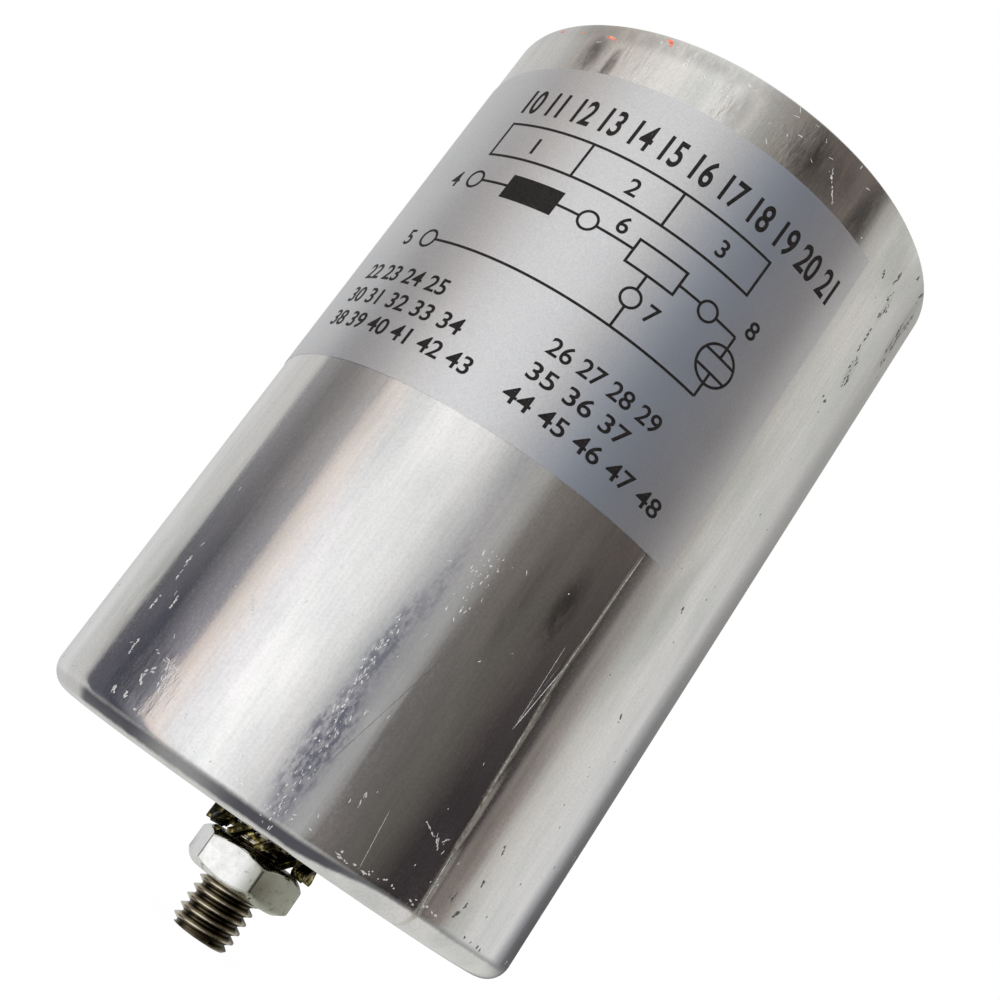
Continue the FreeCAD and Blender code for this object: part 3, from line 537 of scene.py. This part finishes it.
label_mesh = bmesh.new()
label_section = (
    (CAN_RADIUS, LABEL_LOW), (LABEL_RADIUS, LABEL_LOW),
    (LABEL_RADIUS, LABEL_HIGH), (CAN_RADIUS, LABEL_HIGH))
section = [label_mesh.verts.new((0, -radius * MM, height * MM)) for radius, height in label_section]
section_face = label_mesh.faces.new(section)
bmesh.ops.rotate(label_mesh, verts=section, cent=(0, 0, 0),
                 matrix=Matrix.Rotation(-LABEL_SWEEP / 2, 3, "Z"))
bmesh.ops.spin(label_mesh, geom=[section_face], axis=(0, 0, 1), cent=(0, 0, 0), angle=LABEL_SWEEP,
               steps=LABEL_STEPS)
bmesh.ops.remove_doubles(label_mesh, verts=label_mesh.verts, dist=MERGE_WITHIN * MM)
bmesh.ops.recalc_face_normals(label_mesh, faces=label_mesh.faces)
piece(label_mesh, "label_film", film, "rating_label")


# The print on the label. Every mark is drawn flat in mm about the middle of the print,
# then leaned a little, as it was stuck on, and wrapped round the film.
PRINT_MIDDLE = (5.67, 68.8)
PRINT_LEAN = math.radians(-1.6)
PRINT_THICKNESS = 0.02
PRINT_LIFT = 0.004
STROKE = 0.33
RING_STEPS = 40
FIGURE_HEIGHT = 2.3
HEADING_HEIGHT = 3.8
INK_GRAIN_SIZE = 0.3
ink, tree, shader = new_material("black_print", roughness=0.42, specular_ior_level=0.2)
location = add(tree, "ShaderNodeTexCoord").outputs["Object"]
inking = add(tree, "ShaderNodeTexNoise", {
    "Vector": location, "Scale": 1 / (INK_GRAIN_SIZE * MM), "Detail": 3})
ink_tint = add(tree, "ShaderNodeValToRGB", [inking], stops=[(0.3, "#0d0c0d"), (0.75, "#262322")])
tree.links.new(ink_tint.outputs["Color"], shader.inputs["Base Color"])
printed = bmesh.new()


def bar(left, low, right, high):
    """A filled rectangle, divided along its length so that it can be wrapped."""
    wide, tall = right - left, high - low
    middle = Matrix.Translation(((left + right) / 2, (low + high) / 2, 0))
    bmesh.ops.create_grid(printed, x_segments=max(1, round(wide)), y_segments=1, size=0.5,
                          matrix=middle @ Matrix.Diagonal((wide, tall, 1, 1)))


def across(left, right, y):
    """A level stroke."""
    bar(left, y - STROKE / 2, right, y + STROKE / 2)


def upright(x, low, high):
    """An upright stroke."""
    bar(x - STROKE / 2, low, x + STROKE / 2, high)


def frame_line(left, low, right, high):
    """The outline of a rectangle."""
    across(left - STROKE / 2, right + STROKE / 2, low)
    across(left - STROKE / 2, right + STROKE / 2, high)
    upright(left, low + STROKE / 2, high - STROKE / 2)
    upright(right, low + STROKE / 2, high - STROKE / 2)


def ring(x, y, radius):
    """A circle drawn with the stroke."""
    loops = set()
    for edge in (radius - STROKE / 2, radius + STROKE / 2):
        made = bmesh.ops.create_circle(printed, segments=RING_STEPS, radius=edge,
                                       matrix=Matrix.Translation((x, y, 0)))
        loops |= {link for vert in made["verts"] for link in vert.link_edges}
    bmesh.ops.bridge_loops(printed, edges=list(loops))


def figures(text, x, y, tall, wide=None, bold=0.012):
    """Figures about a middle, in the built-in font, condensed to a width if one is given."""
    curve = bpy.data.curves.new("figures", "FONT")
    curve.body = text
    curve.offset = bold
    letters = bpy.data.objects.new("figures", curve)
    mesh = bpy.data.meshes.new_from_object(letters)
    corners = [vert.co for vert in mesh.vertices]
    first_x, last_x = min(c.x for c in corners), max(c.x for c in corners)
    first_y, last_y = min(c.y for c in corners), max(c.y for c in corners)
    up = tall / (last_y - first_y)
    aside = wide / (last_x - first_x) if wide else up
    mesh.transform(
        Matrix.Translation((x, y, 0))
        @ Matrix.Diagonal((aside, up, 1, 1))
        @ Matrix.Translation((-(first_x + last_x) / 2, -(first_y + last_y) / 2, 0)))
    glyphs = bmesh.new()
    glyphs.from_mesh(mesh)
    # Where a bold outline crosses itself, tiny faces lie over their neighbours: of two on
    # the same side of an edge the smaller goes.
    doubled = set()
    for edge in glyphs.edges:
        for corner in edge.verts:
            side = [loop.face for loop in edge.link_loops if loop.vert == corner]
            doubled.update(sorted(side, key=lambda face: face.calc_area())[:-1])
    bmesh.ops.delete(glyphs, geom=list(doubled), context="FACES")
    left_over = [vert for vert in glyphs.verts if not vert.link_faces]
    bmesh.ops.delete(glyphs, geom=left_over, context="VERTS")
    glyphs.to_mesh(mesh)
    glyphs.free()
    printed.from_mesh(mesh)
    bpy.data.objects.remove(letters)
    bpy.data.curves.remove(curve)
    bpy.data.meshes.remove(mesh)


# A heading of counting figures.
figures("10 11 12 13 14 15 16 17 18 19 20 21", 3.1, 18.6, HEADING_HEIGHT, wide=47.4, bold=0.02)

# The terminal table: three cells, numbered from the left.
frame_line(-20.25, 9.96, 17.67, 14.96)
for divider in (-7.25, 5.17):
    upright(divider, 10.11, 14.81)
for number, middle in enumerate((-14.1, 0.0, 12.3), start=1):
    figures(str(number), middle, 12.2, FIGURE_HEIGHT)

# The wiring diagram: a choke, the ignitor and the lamp, with a ring at each terminal.
UPPER_WIRE = 6.0
LOWER_WIRE = -3.45
RING_RADIUS = 1.2
LAMP_X = 19.5
LAMP_Y = 0.96
LAMP_RADIUS = 2.5
CHORD = 1.08
for x, y in ((-19.4, UPPER_WIRE), (-2.0, 5.9), (15.1, 5.2), (7.25, 0.7), (-19.5, LOWER_WIRE)):
    ring(x, y, RING_RADIUS)
across(-18.2, -13.9, UPPER_WIRE)
bar(-13.9, 4.3, -6.3, 7.7)
across(-6.3, -3.2, 5.95)
across(-0.8, 4.25, 5.75)
frame_line(4.25, 4.0, 10.75, 7.2)
across(10.75, 13.9, 5.4)
across(16.3, LAMP_X, 5.2)
upright(7.25, 1.9, 4.0)
upright(7.25, LOWER_WIRE, -0.5)
across(-18.3, LAMP_X, LOWER_WIRE)
ring(LAMP_X, LAMP_Y, LAMP_RADIUS)
half_chord = math.sqrt(LAMP_RADIUS ** 2 - CHORD ** 2)
for side in (-1, 1):
    across(LAMP_X - half_chord, LAMP_X + half_chord, LAMP_Y + side * CHORD)
upright(LAMP_X, LAMP_Y + CHORD, 5.2)
upright(LAMP_X, LOWER_WIRE, LAMP_Y - CHORD)
for text, x, y in (
        ("4", -23.0, 5.8), ("5", -23.3, -3.6), ("6", 1.75, 7.6), ("7", 10.25, 0.5), ("8", 20.8, 7.3)):
    figures(text, x, y, FIGURE_HEIGHT)

# Three rows of counting figures in two columns.
ROW_HEIGHT = 2.25
ROW_START = -26.8
for y, left_end, left_text, right_start, right_end, right_text in (
        (-9.1, -11.3, "22 23 24 25", 3.2, 18.4, "26 27 28 29"),
        (-12.7, -6.2, "30 31 32 33 34", 3.0, 16.3, "35 36 37"),
        (-16.3, -2.4, "38 39 40 41 42 43", 2.2, 24.3, "44 45 46 47 48")):
    figures(left_text, (left_end + ROW_START) / 2, y, ROW_HEIGHT, wide=left_end - ROW_START)
    figures(right_text, (right_start + right_end) / 2, y, ROW_HEIGHT, wide=right_end - right_start)


def wrapped(bm, radius, thickness):
    """Turns flat shapes (mm round from the label's middle, mm up) into thin skins on the can.

    Flat faces look up, and so the skins that grow from them face outwards."""
    skin = bmesh.ops.extrude_face_region(bm, geom=bm.faces[:])
    bmesh.ops.translate(bm, verts=[v for v in skin["geom"] if isinstance(v, bmesh.types.BMVert)],
                        vec=(0, 0, thickness))
    for vert in bm.verts:
        round_angle = vert.co.x / CAN_RADIUS - math.pi / 2
        reach = radius + vert.co.z
        vert.co = Vector((reach * math.cos(round_angle), reach * math.sin(round_angle), vert.co.y)) * MM
    return bm


bmesh.ops.transform(printed, verts=printed.verts, matrix=(
    Matrix.Translation((*PRINT_MIDDLE, 0)) @ Matrix.Rotation(PRINT_LEAN, 4, "Z")))
piece(wrapped(printed, LABEL_RADIUS + PRINT_LIFT, PRINT_THICKNESS), "label_print", ink)


# The can's scratches and specks. Handling has left bright nicks, short ones along the axis
# and a few across it, dark specks on the pale side, and red marking paint at the rim.
MARK_THICKNESS = 0.012
MARK_LIFT = 0.002
NICK_CORNERS = 6
SCRAPE_STEP = 0.45
LINE_STEP = 4.0
LINE_OVERLAP = 1.5
mark_finishes = {}
for name, grain_size, detail, stops, surface in (
        ("scratched_aluminium", 0.2, 2, [(0.3, "#b9b9b9"), (0.6, "#f4f4f4")],
         {"metallic": 0.6, "roughness": 0.5}),
        ("rubbed_aluminium", 0.5, 3, [(0.35, "#6f6a64"), (0.65, "#a39e96")],
         {"metallic": 0.5, "roughness": 0.45}),
        ("ground_in_dirt", 0.3, 2, [(0.3, "#2c2c2c"), (0.7, "#666664")], {"roughness": 0.7}),
        ("red_marking_paint", 0.4, 3, [(0.35, "#c8553a"), (0.7, "#e0a48f")], {"roughness": 0.5})):
    mark_finishes[name], tree, shader = new_material(name, **surface)
    location = add(tree, "ShaderNodeTexCoord").outputs["Object"]
    flecks = add(tree, "ShaderNodeTexNoise", {
        "Vector": location, "Scale": 1 / (grain_size * MM), "Detail": detail})
    fleck_tint = add(tree, "ShaderNodeValToRGB", [flecks], stops=stops)
    tree.links.new(fleck_tint.outputs["Color"], shader.inputs["Base Color"])
scatter = random.Random(7)


def nick(bm, azimuth, height, long, wide, lean=0.0):
    """A thin lens lying on the wall: degrees round, mm up, its size, and its lean off upright."""
    middle = Matrix.Translation(((math.radians(azimuth) + math.pi / 2) * CAN_RADIUS, height, 0))
    turn = Matrix.Rotation(math.radians(lean), 4, "Z")
    bmesh.ops.create_circle(bm, cap_ends=True, segments=NICK_CORNERS, radius=0.5,
                            matrix=middle @ turn @ Matrix.Diagonal((wide, long, 1, 1)))


def fine_line(bm, low, high, wide):
    """A long fine scratch between two places (degrees round and mm up), in overlapping nicks."""
    steps = math.ceil((high[1] - low[1]) / LINE_STEP)
    rise = (high[1] - low[1]) / steps
    drift = (high[0] - low[0]) / steps
    lean = math.degrees(math.atan2(-math.radians(drift) * CAN_RADIUS, rise))
    for step in range(steps):
        nick(bm, low[0] + drift * (step + 0.5), low[1] + rise * (step + 0.5),
             rise * LINE_OVERLAP, wide, lean)


def scrape(bm, azimuth, height, long, wide, lean=0.0, thick=0.17):
    """A ragged scratch: short nicks strung along its line, up to thick mm wide each."""
    slope = math.radians(lean)
    for _ in range(2 + round(2 * long / SCRAPE_STEP)):
        along = scatter.uniform(-0.5, 0.5) * long
        aside = scatter.gauss(0, 0.4) * wide
        sideways = aside * math.cos(slope) - along * math.sin(slope)
        upwards = aside * math.sin(slope) + along * math.cos(slope)
        nick(bm, azimuth + math.degrees(sideways / CAN_RADIUS), height + upwards,
             SCRAPE_STEP * scatter.uniform(0.25, 1.5), scatter.uniform(0.25, 1) * thick,
             lean + scatter.gauss(0, 12))


scratches = bmesh.new()
for azimuth, height, long, wide, lean in (
        (-101.0, 8.8, 4.6, 0.24, 84),
        (-99.8, 7.3, 2.6, 0.14, 12), (-98.9, 7.1, 2.8, 0.16, 14), (-98.0, 7.0, 2.4, 0.12, 10),
        (-93.2, 18.6, 2.9, 0.14, 40), (-41.0, 9.9, 2.0, 0.2, 70), (-38.4, 9.4, 1.6, 0.2, 35),
        (-37.0, 9.9, 1.2, 0.2, -30), (-55.0, 8.4, 1.6, 0.24, 10), (-78.2, 97.6, 4.6, 0.2, 76),
        (-85.9, 98.8, 1.6, 0.3, 5), (-71.6, 99.6, 1.0, 0.3, 80), (-48.0, 97.4, 0.6, 0.5, 0),
        (-45.5, 95.6, 3.4, 0.12, 40), (-66.5, 8, 14, 1.6, 0), (-68, 20, 12, 1.0, 2),
        (-52.2, 2.6, 1.6, 0.2, 85), (-47, 2.7, 1.4, 0.2, 85), (-60, 33, 8, 3.0, 0)):
    scrape(scratches, azimuth, height, long, wide, lean)
for azimuth, height, long, wide, lean in (
        (-113.5, 18.0, 3.0, 0.16, 4), (-114.2, 13.3, 1.7, 0.2, -6), (-109.2, 14.2, 1.8, 0.2, 3),
        (-111.0, 8.2, 2.0, 0.2, 0), (-103.6, 6.1, 1.5, 0.35, 10), (-102.5, 7.0, 1.0, 0.5, -20),
        (-108.0, 3.4, 0.6, 0.5, 10), (-104.4, 3.7, 0.7, 0.4, 10)):
    scrape(scratches, azimuth, height, long, wide, lean, thick=0.34)
for low, high, wide in (
        ((-33.4, 2.8), (-34.2, 9), 0.07), ((-35.2, 18), (-35.7, 23), 0.05),
        ((-36.2, 31), (-35.2, 46.5), 0.05), ((-38.1, 24), (-36.5, 30.8), 0.1),
        ((-38.2, 24.2), (-38.6, 33), 0.04), ((-48.5, 3.2), (-49.6, 8.5), 0.05)):
    fine_line(scratches, low, high, wide)
# Fine nicks lie low on the wall, all along its lower corner and near the rim.
for _ in range(150):
    nick(scratches, scatter.uniform(-180, 180), scatter.triangular(3.5, 47, 5),
         scatter.uniform(0.15, 0.8), scatter.uniform(0.05, 0.12), scatter.gauss(0, 30))
for _ in range(90):
    nick(scratches, scatter.uniform(-180, 180), scatter.uniform(2.8, 3.5), scatter.uniform(0.12, 0.3),
         scatter.uniform(0.15, 0.5), scatter.gauss(0, 15))
for _ in range(60):
    nick(scratches, scatter.uniform(-180, 180), scatter.uniform(94, 101), scatter.uniform(0.2, 0.9),
         scatter.uniform(0.05, 0.15), scatter.gauss(0, 50))
piece(wrapped(scratches, CAN_RADIUS + MARK_LIFT, MARK_THICKNESS), "can_scratches",
      mark_finishes["scratched_aluminium"])

# Under the longest scratch the wall is rubbed dull, in a strip that wanders.
rubbed = bmesh.new()
for low, high, wide in (
        ((-33.4, 2.7), (-35.7, 23), 0.34), ((-35.7, 23), (-36.2, 31), 0.24),
        ((-36.2, 31), (-35.2, 46.5), 0.22)):
    fine_line(rubbed, low, high, wide)
piece(wrapped(rubbed, CAN_RADIUS, MARK_THICKNESS), "can_rubbing",
      mark_finishes["rubbed_aluminium"])

# Specks of dirt lie on the pale side, in clusters and scattered.
specks = bmesh.new()
for azimuth, height, long, wide, lean in (
        (-22.0, 94.6, 0.8, 0.4, 0), (-17.0, 96.5, 2.2, 0.3, -6), (-15.9, 93.9, 0.9, 0.5, -10),
        (-14.6, 92.2, 2.6, 0.5, -20), (-14.9, 88.4, 2.0, 0.3, 0), (-15.0, 86.3, 1.0, 0.3, 5),
        (-13.6, 84.4, 2.0, 0.8, -10), (-12.5, 82.2, 1.6, 0.9, -10), (-15.4, 78.0, 0.7, 0.7, 0),
        (0.6, 90.4, 1.2, 0.9, 0), (1.0, 97.2, 2.6, 0.9, 8), (0.2, 94.2, 4.0, 0.5, 4),
        (-2.2, 99.9, 2.2, 0.4, -18), (-9.4, 99.9, 0.8, 0.3, 0), (-1.8, 93.5, 5.0, 0.4, 4),
        (-17.6, 46.3, 0.8, 0.3, 0), (-15.4, 32.1, 1.0, 0.3, 5), (-28.5, 5.8, 0.8, 0.6, 0),
        (-24.8, 5.1, 2.0, 0.2, -25), (-23.9, 12.7, 0.9, 0.2, 15), (-23.5, 8.6, 0.5, 0.3, 0),
        (-13.2, 2.9, 0.2, 3.0, 0), (-20.3, 3.0, 0.2, 2.0, 0)):
    scrape(specks, azimuth, height, long, wide, lean, thick=0.3)
fine_line(specks, (-63.8, 9.3), (-57.3, 25.2), 0.06)
fine_line(specks, (-38.5, 24.2), (-37.4, 31), 0.12)
for _ in range(70):
    nick(specks, scatter.uniform(-28, 60), scatter.uniform(4, 99), scatter.uniform(0.15, 0.45),
         scatter.uniform(0.06, 0.14), scatter.gauss(0, 20))
piece(wrapped(specks, CAN_RADIUS + MARK_LIFT, MARK_THICKNESS), "can_specks",
      mark_finishes["ground_in_dirt"])

# A few spots of marking paint lie along the rim.
paint_spots = bmesh.new()
for azimuth, height, long, wide, lean in (
        (-123.2, 100.6, 0.4, 0.8, 10), (-115.2, 99.9, 0.3, 0.6, 0), (-106.3, 99.3, 0.5, 1.0, 12),
        (-105.0, 99.1, 0.5, 0.7, -10), (-92.4, 100.7, 0.5, 0.9, 0), (-91.6, 100.4, 1.0, 0.4, 15)):
    nick(paint_spots, azimuth, height, long, wide, lean)
piece(wrapped(paint_spots, CAN_RADIUS + MARK_LIFT, MARK_THICKNESS), "rim_paint",
      mark_finishes["red_marking_paint"])


# The lid with its terminals. The lid is one black moulding; each pole has a stamped brass
# plate, and a plated screw that presses a square plate on the wire.
def mottled(name, pale, dark, grain, roughness, metallic=0.0, bump=0.02, stretch=(1, 1, 1)):
    """A finish with a fine grain of the given mm, in its colour, gloss and surface."""
    made, tree, shader = new_material(name, metallic=metallic)
    location = add(tree, "ShaderNodeTexCoord").outputs["Object"]
    stretched = add(tree, "ShaderNodeMapping", {"Vector": location, "Scale": stretch})
    noise = add(tree, "ShaderNodeTexNoise", {
        "Vector": stretched, "Scale": 1 / (grain * MM), "Detail": 4})
    tint = add(tree, "ShaderNodeValToRGB", [noise], stops=[(0.3, dark), (0.7, pale)])
    gloss = add(tree, "ShaderNodeMapRange", [noise, 0.3, 0.7, roughness + 0.06, roughness - 0.06],
                interpolation_type="SMOOTHSTEP")
    relief = add(tree, "ShaderNodeBump", {"Height": noise, "Strength": 0.5, "Distance": bump * MM})
    tree.links.new(tint.outputs["Color"], shader.inputs["Base Color"])
    tree.links.new(gloss.outputs["Result"], shader.inputs["Roughness"])
    tree.links.new(relief.outputs["Normal"], shader.inputs["Normal"])
    return made


POLES = (1, 2, 3)
LID_EDGE = 0.25
PLATE_EDGE = 0.15
CLAMP_EDGE = 0.12
black_moulding = mottled("moulded_phenolic", "#2a2a2b", "#161617", 0.4, 0.45)
brass = mottled("stamped_brass", "#d9bd78", "#b59350", 1.5, 0.26, metallic=1.0, bump=0.01)
nickel = mottled("nickel_plate", "#d8d6d0", "#b4b1aa", 0.8, 0.24, metallic=1.0, bump=0.008)
softened(["terminal_cover"], LID_EDGE, "terminal_lid", black_moulding)
softened([f"terminal_plate_{pole}" for pole in POLES], PLATE_EDGE, "brass_plate", brass)
softened([f"clamp_plate_{pole}" for pole in POLES], CLAMP_EDGE, "wire_clamp", nickel)
softened([f"terminal_screw_{pole}" for pole in POLES], CLAMP_EDGE, "clamp_screw", nickel)


# What the can holds, potted in resin: the liner, the coil on its ferrite core, and the
# board with its components. Nothing of it shows, and each piece has its own finish.
inner_finishes = {
    "insulating_disc": mottled("pressboard", "#b98f5c", "#96713f", 0.5, 0.8, stretch=(1, 1, 4)),
    "core_lower": mottled("sintered_ferrite", "#34353a", "#1f2024", 0.3, 0.5),
    "coil_bobbin": mottled("moulded_nylon", "#e6dfc9", "#cfc7ae", 0.8, 0.42),
    "secondary_winding": mottled("enamelled_copper", "#c9713d", "#7c3a1c", 0.5, 0.28, metallic=0.8,
                                 stretch=(0.05, 0.05, 1)),
    "circuit_board": mottled("glass_laminate", "#3f7a3f", "#28542a", 0.5, 0.4),
    "pulse_capacitor": mottled("moulded_case", "#a8402f", "#862c1f", 0.7, 0.36),
    "charging_resistor": mottled("cement_filled_ceramic", "#eceae2", "#cbc8bd", 0.4, 0.7),
    "lead_wire_1": mottled("silicone_insulation", "#a83a2e", "#84261d", 0.6, 0.5),
    "potting_resin": mottled("cast_resin", "#2c2a26", "#191815", 1.4, 0.3),
}
like = {
    "insulating_sleeve": "insulating_disc",
    "core_upper": "core_lower",
    "primary_winding": "secondary_winding",
    "bypass_capacitor": "pulse_capacitor",
    "spark_gap": "charging_resistor",
    "lead_wire_2": "lead_wire_1",
    "lead_wire_3": "lead_wire_1",
}
for node in list(inner_finishes) + list(like):
    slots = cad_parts[node].material_slots
    slots[0].material = inner_finishes[like.get(node, node)]


# The room that the metal mirrors, and the floor. Diffuse light is level and soft; the can
# shows dark and pale upright cards that stand round it, by their bearing in degrees, at the
# eye's level and 30 degrees above it.
ROOM_LOW = [
    (0.0, "#2f2c2b"), (6.0, "#3f3937"), (8.5, "#7d7672"), (11.0, "#6f6863"), (17.0, "#857e78"),
    (23.0, "#b3b1ad"), (38.0, "#c7c7c5"), (62.0, "#cbcbcb"), (70.0, "#9b9b9e"), (78.0, "#656568"),
    (88.0, "#555556"), (113.0, "#575759"), (120.0, "#b8b8b9"), (150.0, "#cecece"), (164.0, "#c0c0bf"),
    (179.5, "#bcbcb9"), (181.0, "#5b5b63"), (190.0, "#58575f"), (202.0, "#43454e"), (214.0, "#7a7980"),
    (221.0, "#8f8d93"), (224.0, "#cfc2bc"), (230.0, "#dfd7d2"), (240.0, "#dfdfe2"), (254.0, "#f8f8f8"),
    (266.0, "#eeeeee"), (280.0, "#cecece"), (293.0, "#97979d"), (304.0, "#a8a8a8"), (311.0, "#6c6866"),
    (333.0, "#575450"), (347.0, "#353132"),
]
ROOM_HIGH = [
    (0.0, "#474442"), (3.0, "#6c6865"), (9.0, "#a09d99"), (18.0, "#b8b7b2"), (43.0, "#bebdb9"),
    (69.0, "#a9a8a5"), (84.0, "#a2a19e"), (111.0, "#9d9c99"), (124.0, "#c2c2c0"), (181.0, "#b5b5b3"),
    (195.0, "#a09b96"), (204.0, "#aca6a0"), (215.0, "#b8b2ab"), (228.0, "#c6c3be"), (241.0, "#d6d5d1"),
    (275.0, "#d6d6d3"), (294.0, "#a6a39f"), (301.0, "#949089"), (314.0, "#736d67"), (330.0, "#5a534e"),
    (345.0, "#665f5a"),
]
ROOM_LEVEL = 1.15
# Degrees above level over which the high cards, and then the ceiling, take over.
CARD_FADE = (0, 30)
CEILING = (48, 62)
FLOOR = (-0.3, -0.6)
FLOOR_TILT = 0.3
SOFT_LIGHT_LEVEL = 0.7
FLOOR_HALF = 3.0
FLOOR_GLOW = 1.05
SHADOW_SHARE = 0.08
world = bpy.data.worlds.new("room")
world.use_nodes = True
bpy.context.scene.world = world
tree = world.node_tree
tree.nodes.clear()
direction = add(tree, "ShaderNodeSeparateXYZ", [add(tree, "ShaderNodeTexCoord").outputs["Generated"]])
around = add(tree, "ShaderNodeMath", [direction.outputs["Y"], direction.outputs["X"]],
             operation="ARCTAN2")
around = add(tree, "ShaderNodeMath", [around, math.tau], operation="DIVIDE")
around = add(tree, "ShaderNodeMath", [around], operation="FRACT")
low_cards, high_cards = (
    add(tree, "ShaderNodeValToRGB", [around], stops=[(degrees / 360, code) for degrees, code in cards])
    for cards in (ROOM_LOW, ROOM_HIGH))
upward = direction.outputs["Z"]
card_share = add(tree, "ShaderNodeMapRange", [
    upward, *(math.sin(math.radians(degrees)) for degrees in CARD_FADE)])
ceiling_share = add(tree, "ShaderNodeMapRange", [
    upward, *(math.sin(math.radians(degrees)) for degrees in CEILING)], interpolation_type="SMOOTHSTEP")
# The pale floor begins nearer to eye level on the far side of the can, +Y, than on the near side.
floor_rise = add(tree, "ShaderNodeMath", [direction.outputs["Y"], -FLOOR_TILT, upward],
                 operation="MULTIPLY_ADD")
floor_share = add(tree, "ShaderNodeMapRange", [floor_rise, *FLOOR], interpolation_type="SMOOTHSTEP")
room_tint = low_cards
for share, upper in (
        (card_share, high_cards), (ceiling_share, colour("#dcdcda")), (floor_share, colour("#c4c4c1"))):
    room_tint = add(tree, "ShaderNodeMix", {"Factor": share, "A": room_tint, "B": upper},
                    data_type="RGBA")
light_path = add(tree, "ShaderNodeLightPath")
mirrored = add(tree, "ShaderNodeBackground", {"Color": room_tint, "Strength": ROOM_LEVEL})
soft_light = add(tree, "ShaderNodeBackground", {
    "Color": colour("#ffffff"), "Strength": SOFT_LIGHT_LEVEL})
backdrop = add(tree, "ShaderNodeBackground", {"Color": colour("#ffffff"), "Strength": 1.0})
bounced = add(tree, "ShaderNodeMixShader", [light_path.outputs["Is Glossy Ray"], soft_light, mirrored])
room = add(tree, "ShaderNodeMixShader", [light_path.outputs["Is Camera Ray"], bounced, backdrop])
add(tree, "ShaderNodeOutputWorld", [room])

floor_mesh = bmesh.new()
bmesh.ops.create_grid(floor_mesh, x_segments=8, y_segments=8, size=FLOOR_HALF,
                      matrix=Matrix.Translation((0, 0, STUD_REACH * MM)))
floor_paper, tree, shader = new_material("white_paper", roughness=0.9, base_color=colour("#f2f2f2"))
output = tree.nodes["Material Output"]
glow = add(tree, "ShaderNodeEmission", {"Color": colour("#ffffff"), "Strength": FLOOR_GLOW})
paper_path = add(tree, "ShaderNodeLightPath")
camera_share = add(tree, "ShaderNodeMath", [paper_path.outputs["Is Camera Ray"], 1 - SHADOW_SHARE],
                   operation="MULTIPLY")
paper_seen = add(tree, "ShaderNodeMixShader", [camera_share, shader, glow])
tree.links.new(paper_seen.outputs["Shader"], output.inputs["Surface"])
floor_data = bpy.data.meshes.new("floor")
floor_mesh.to_mesh(floor_data)
floor_mesh.free()
floor_data.materials.append(floor_paper)
floor = bpy.data.objects.new("floor", floor_data)
bpy.context.scene.collection.objects.link(floor)
floor.visible_glossy = False

for name, spot, size, power in (
        ("key_lamp", (-0.5, -0.7, 0.9), 0.7, 9.0), ("fill_lamp", (0.8, -0.3, 0.5), 0.8, 4.0)):
    lamp_data = bpy.data.lights.new(name, "AREA")
    lamp_data.size = size
    lamp_data.energy = power
    lamp = bpy.data.objects.new(name, lamp_data)
    aim = (-Vector(spot)).to_track_quat("-Z", "Y")
    lamp.matrix_world = Matrix.Translation(spot) @ aim.to_matrix().to_4x4()
    lamp.visible_glossy = False
    bpy.context.scene.collection.objects.link(lamp)

bpy.context.scene.view_settings.view_transform = "Standard"
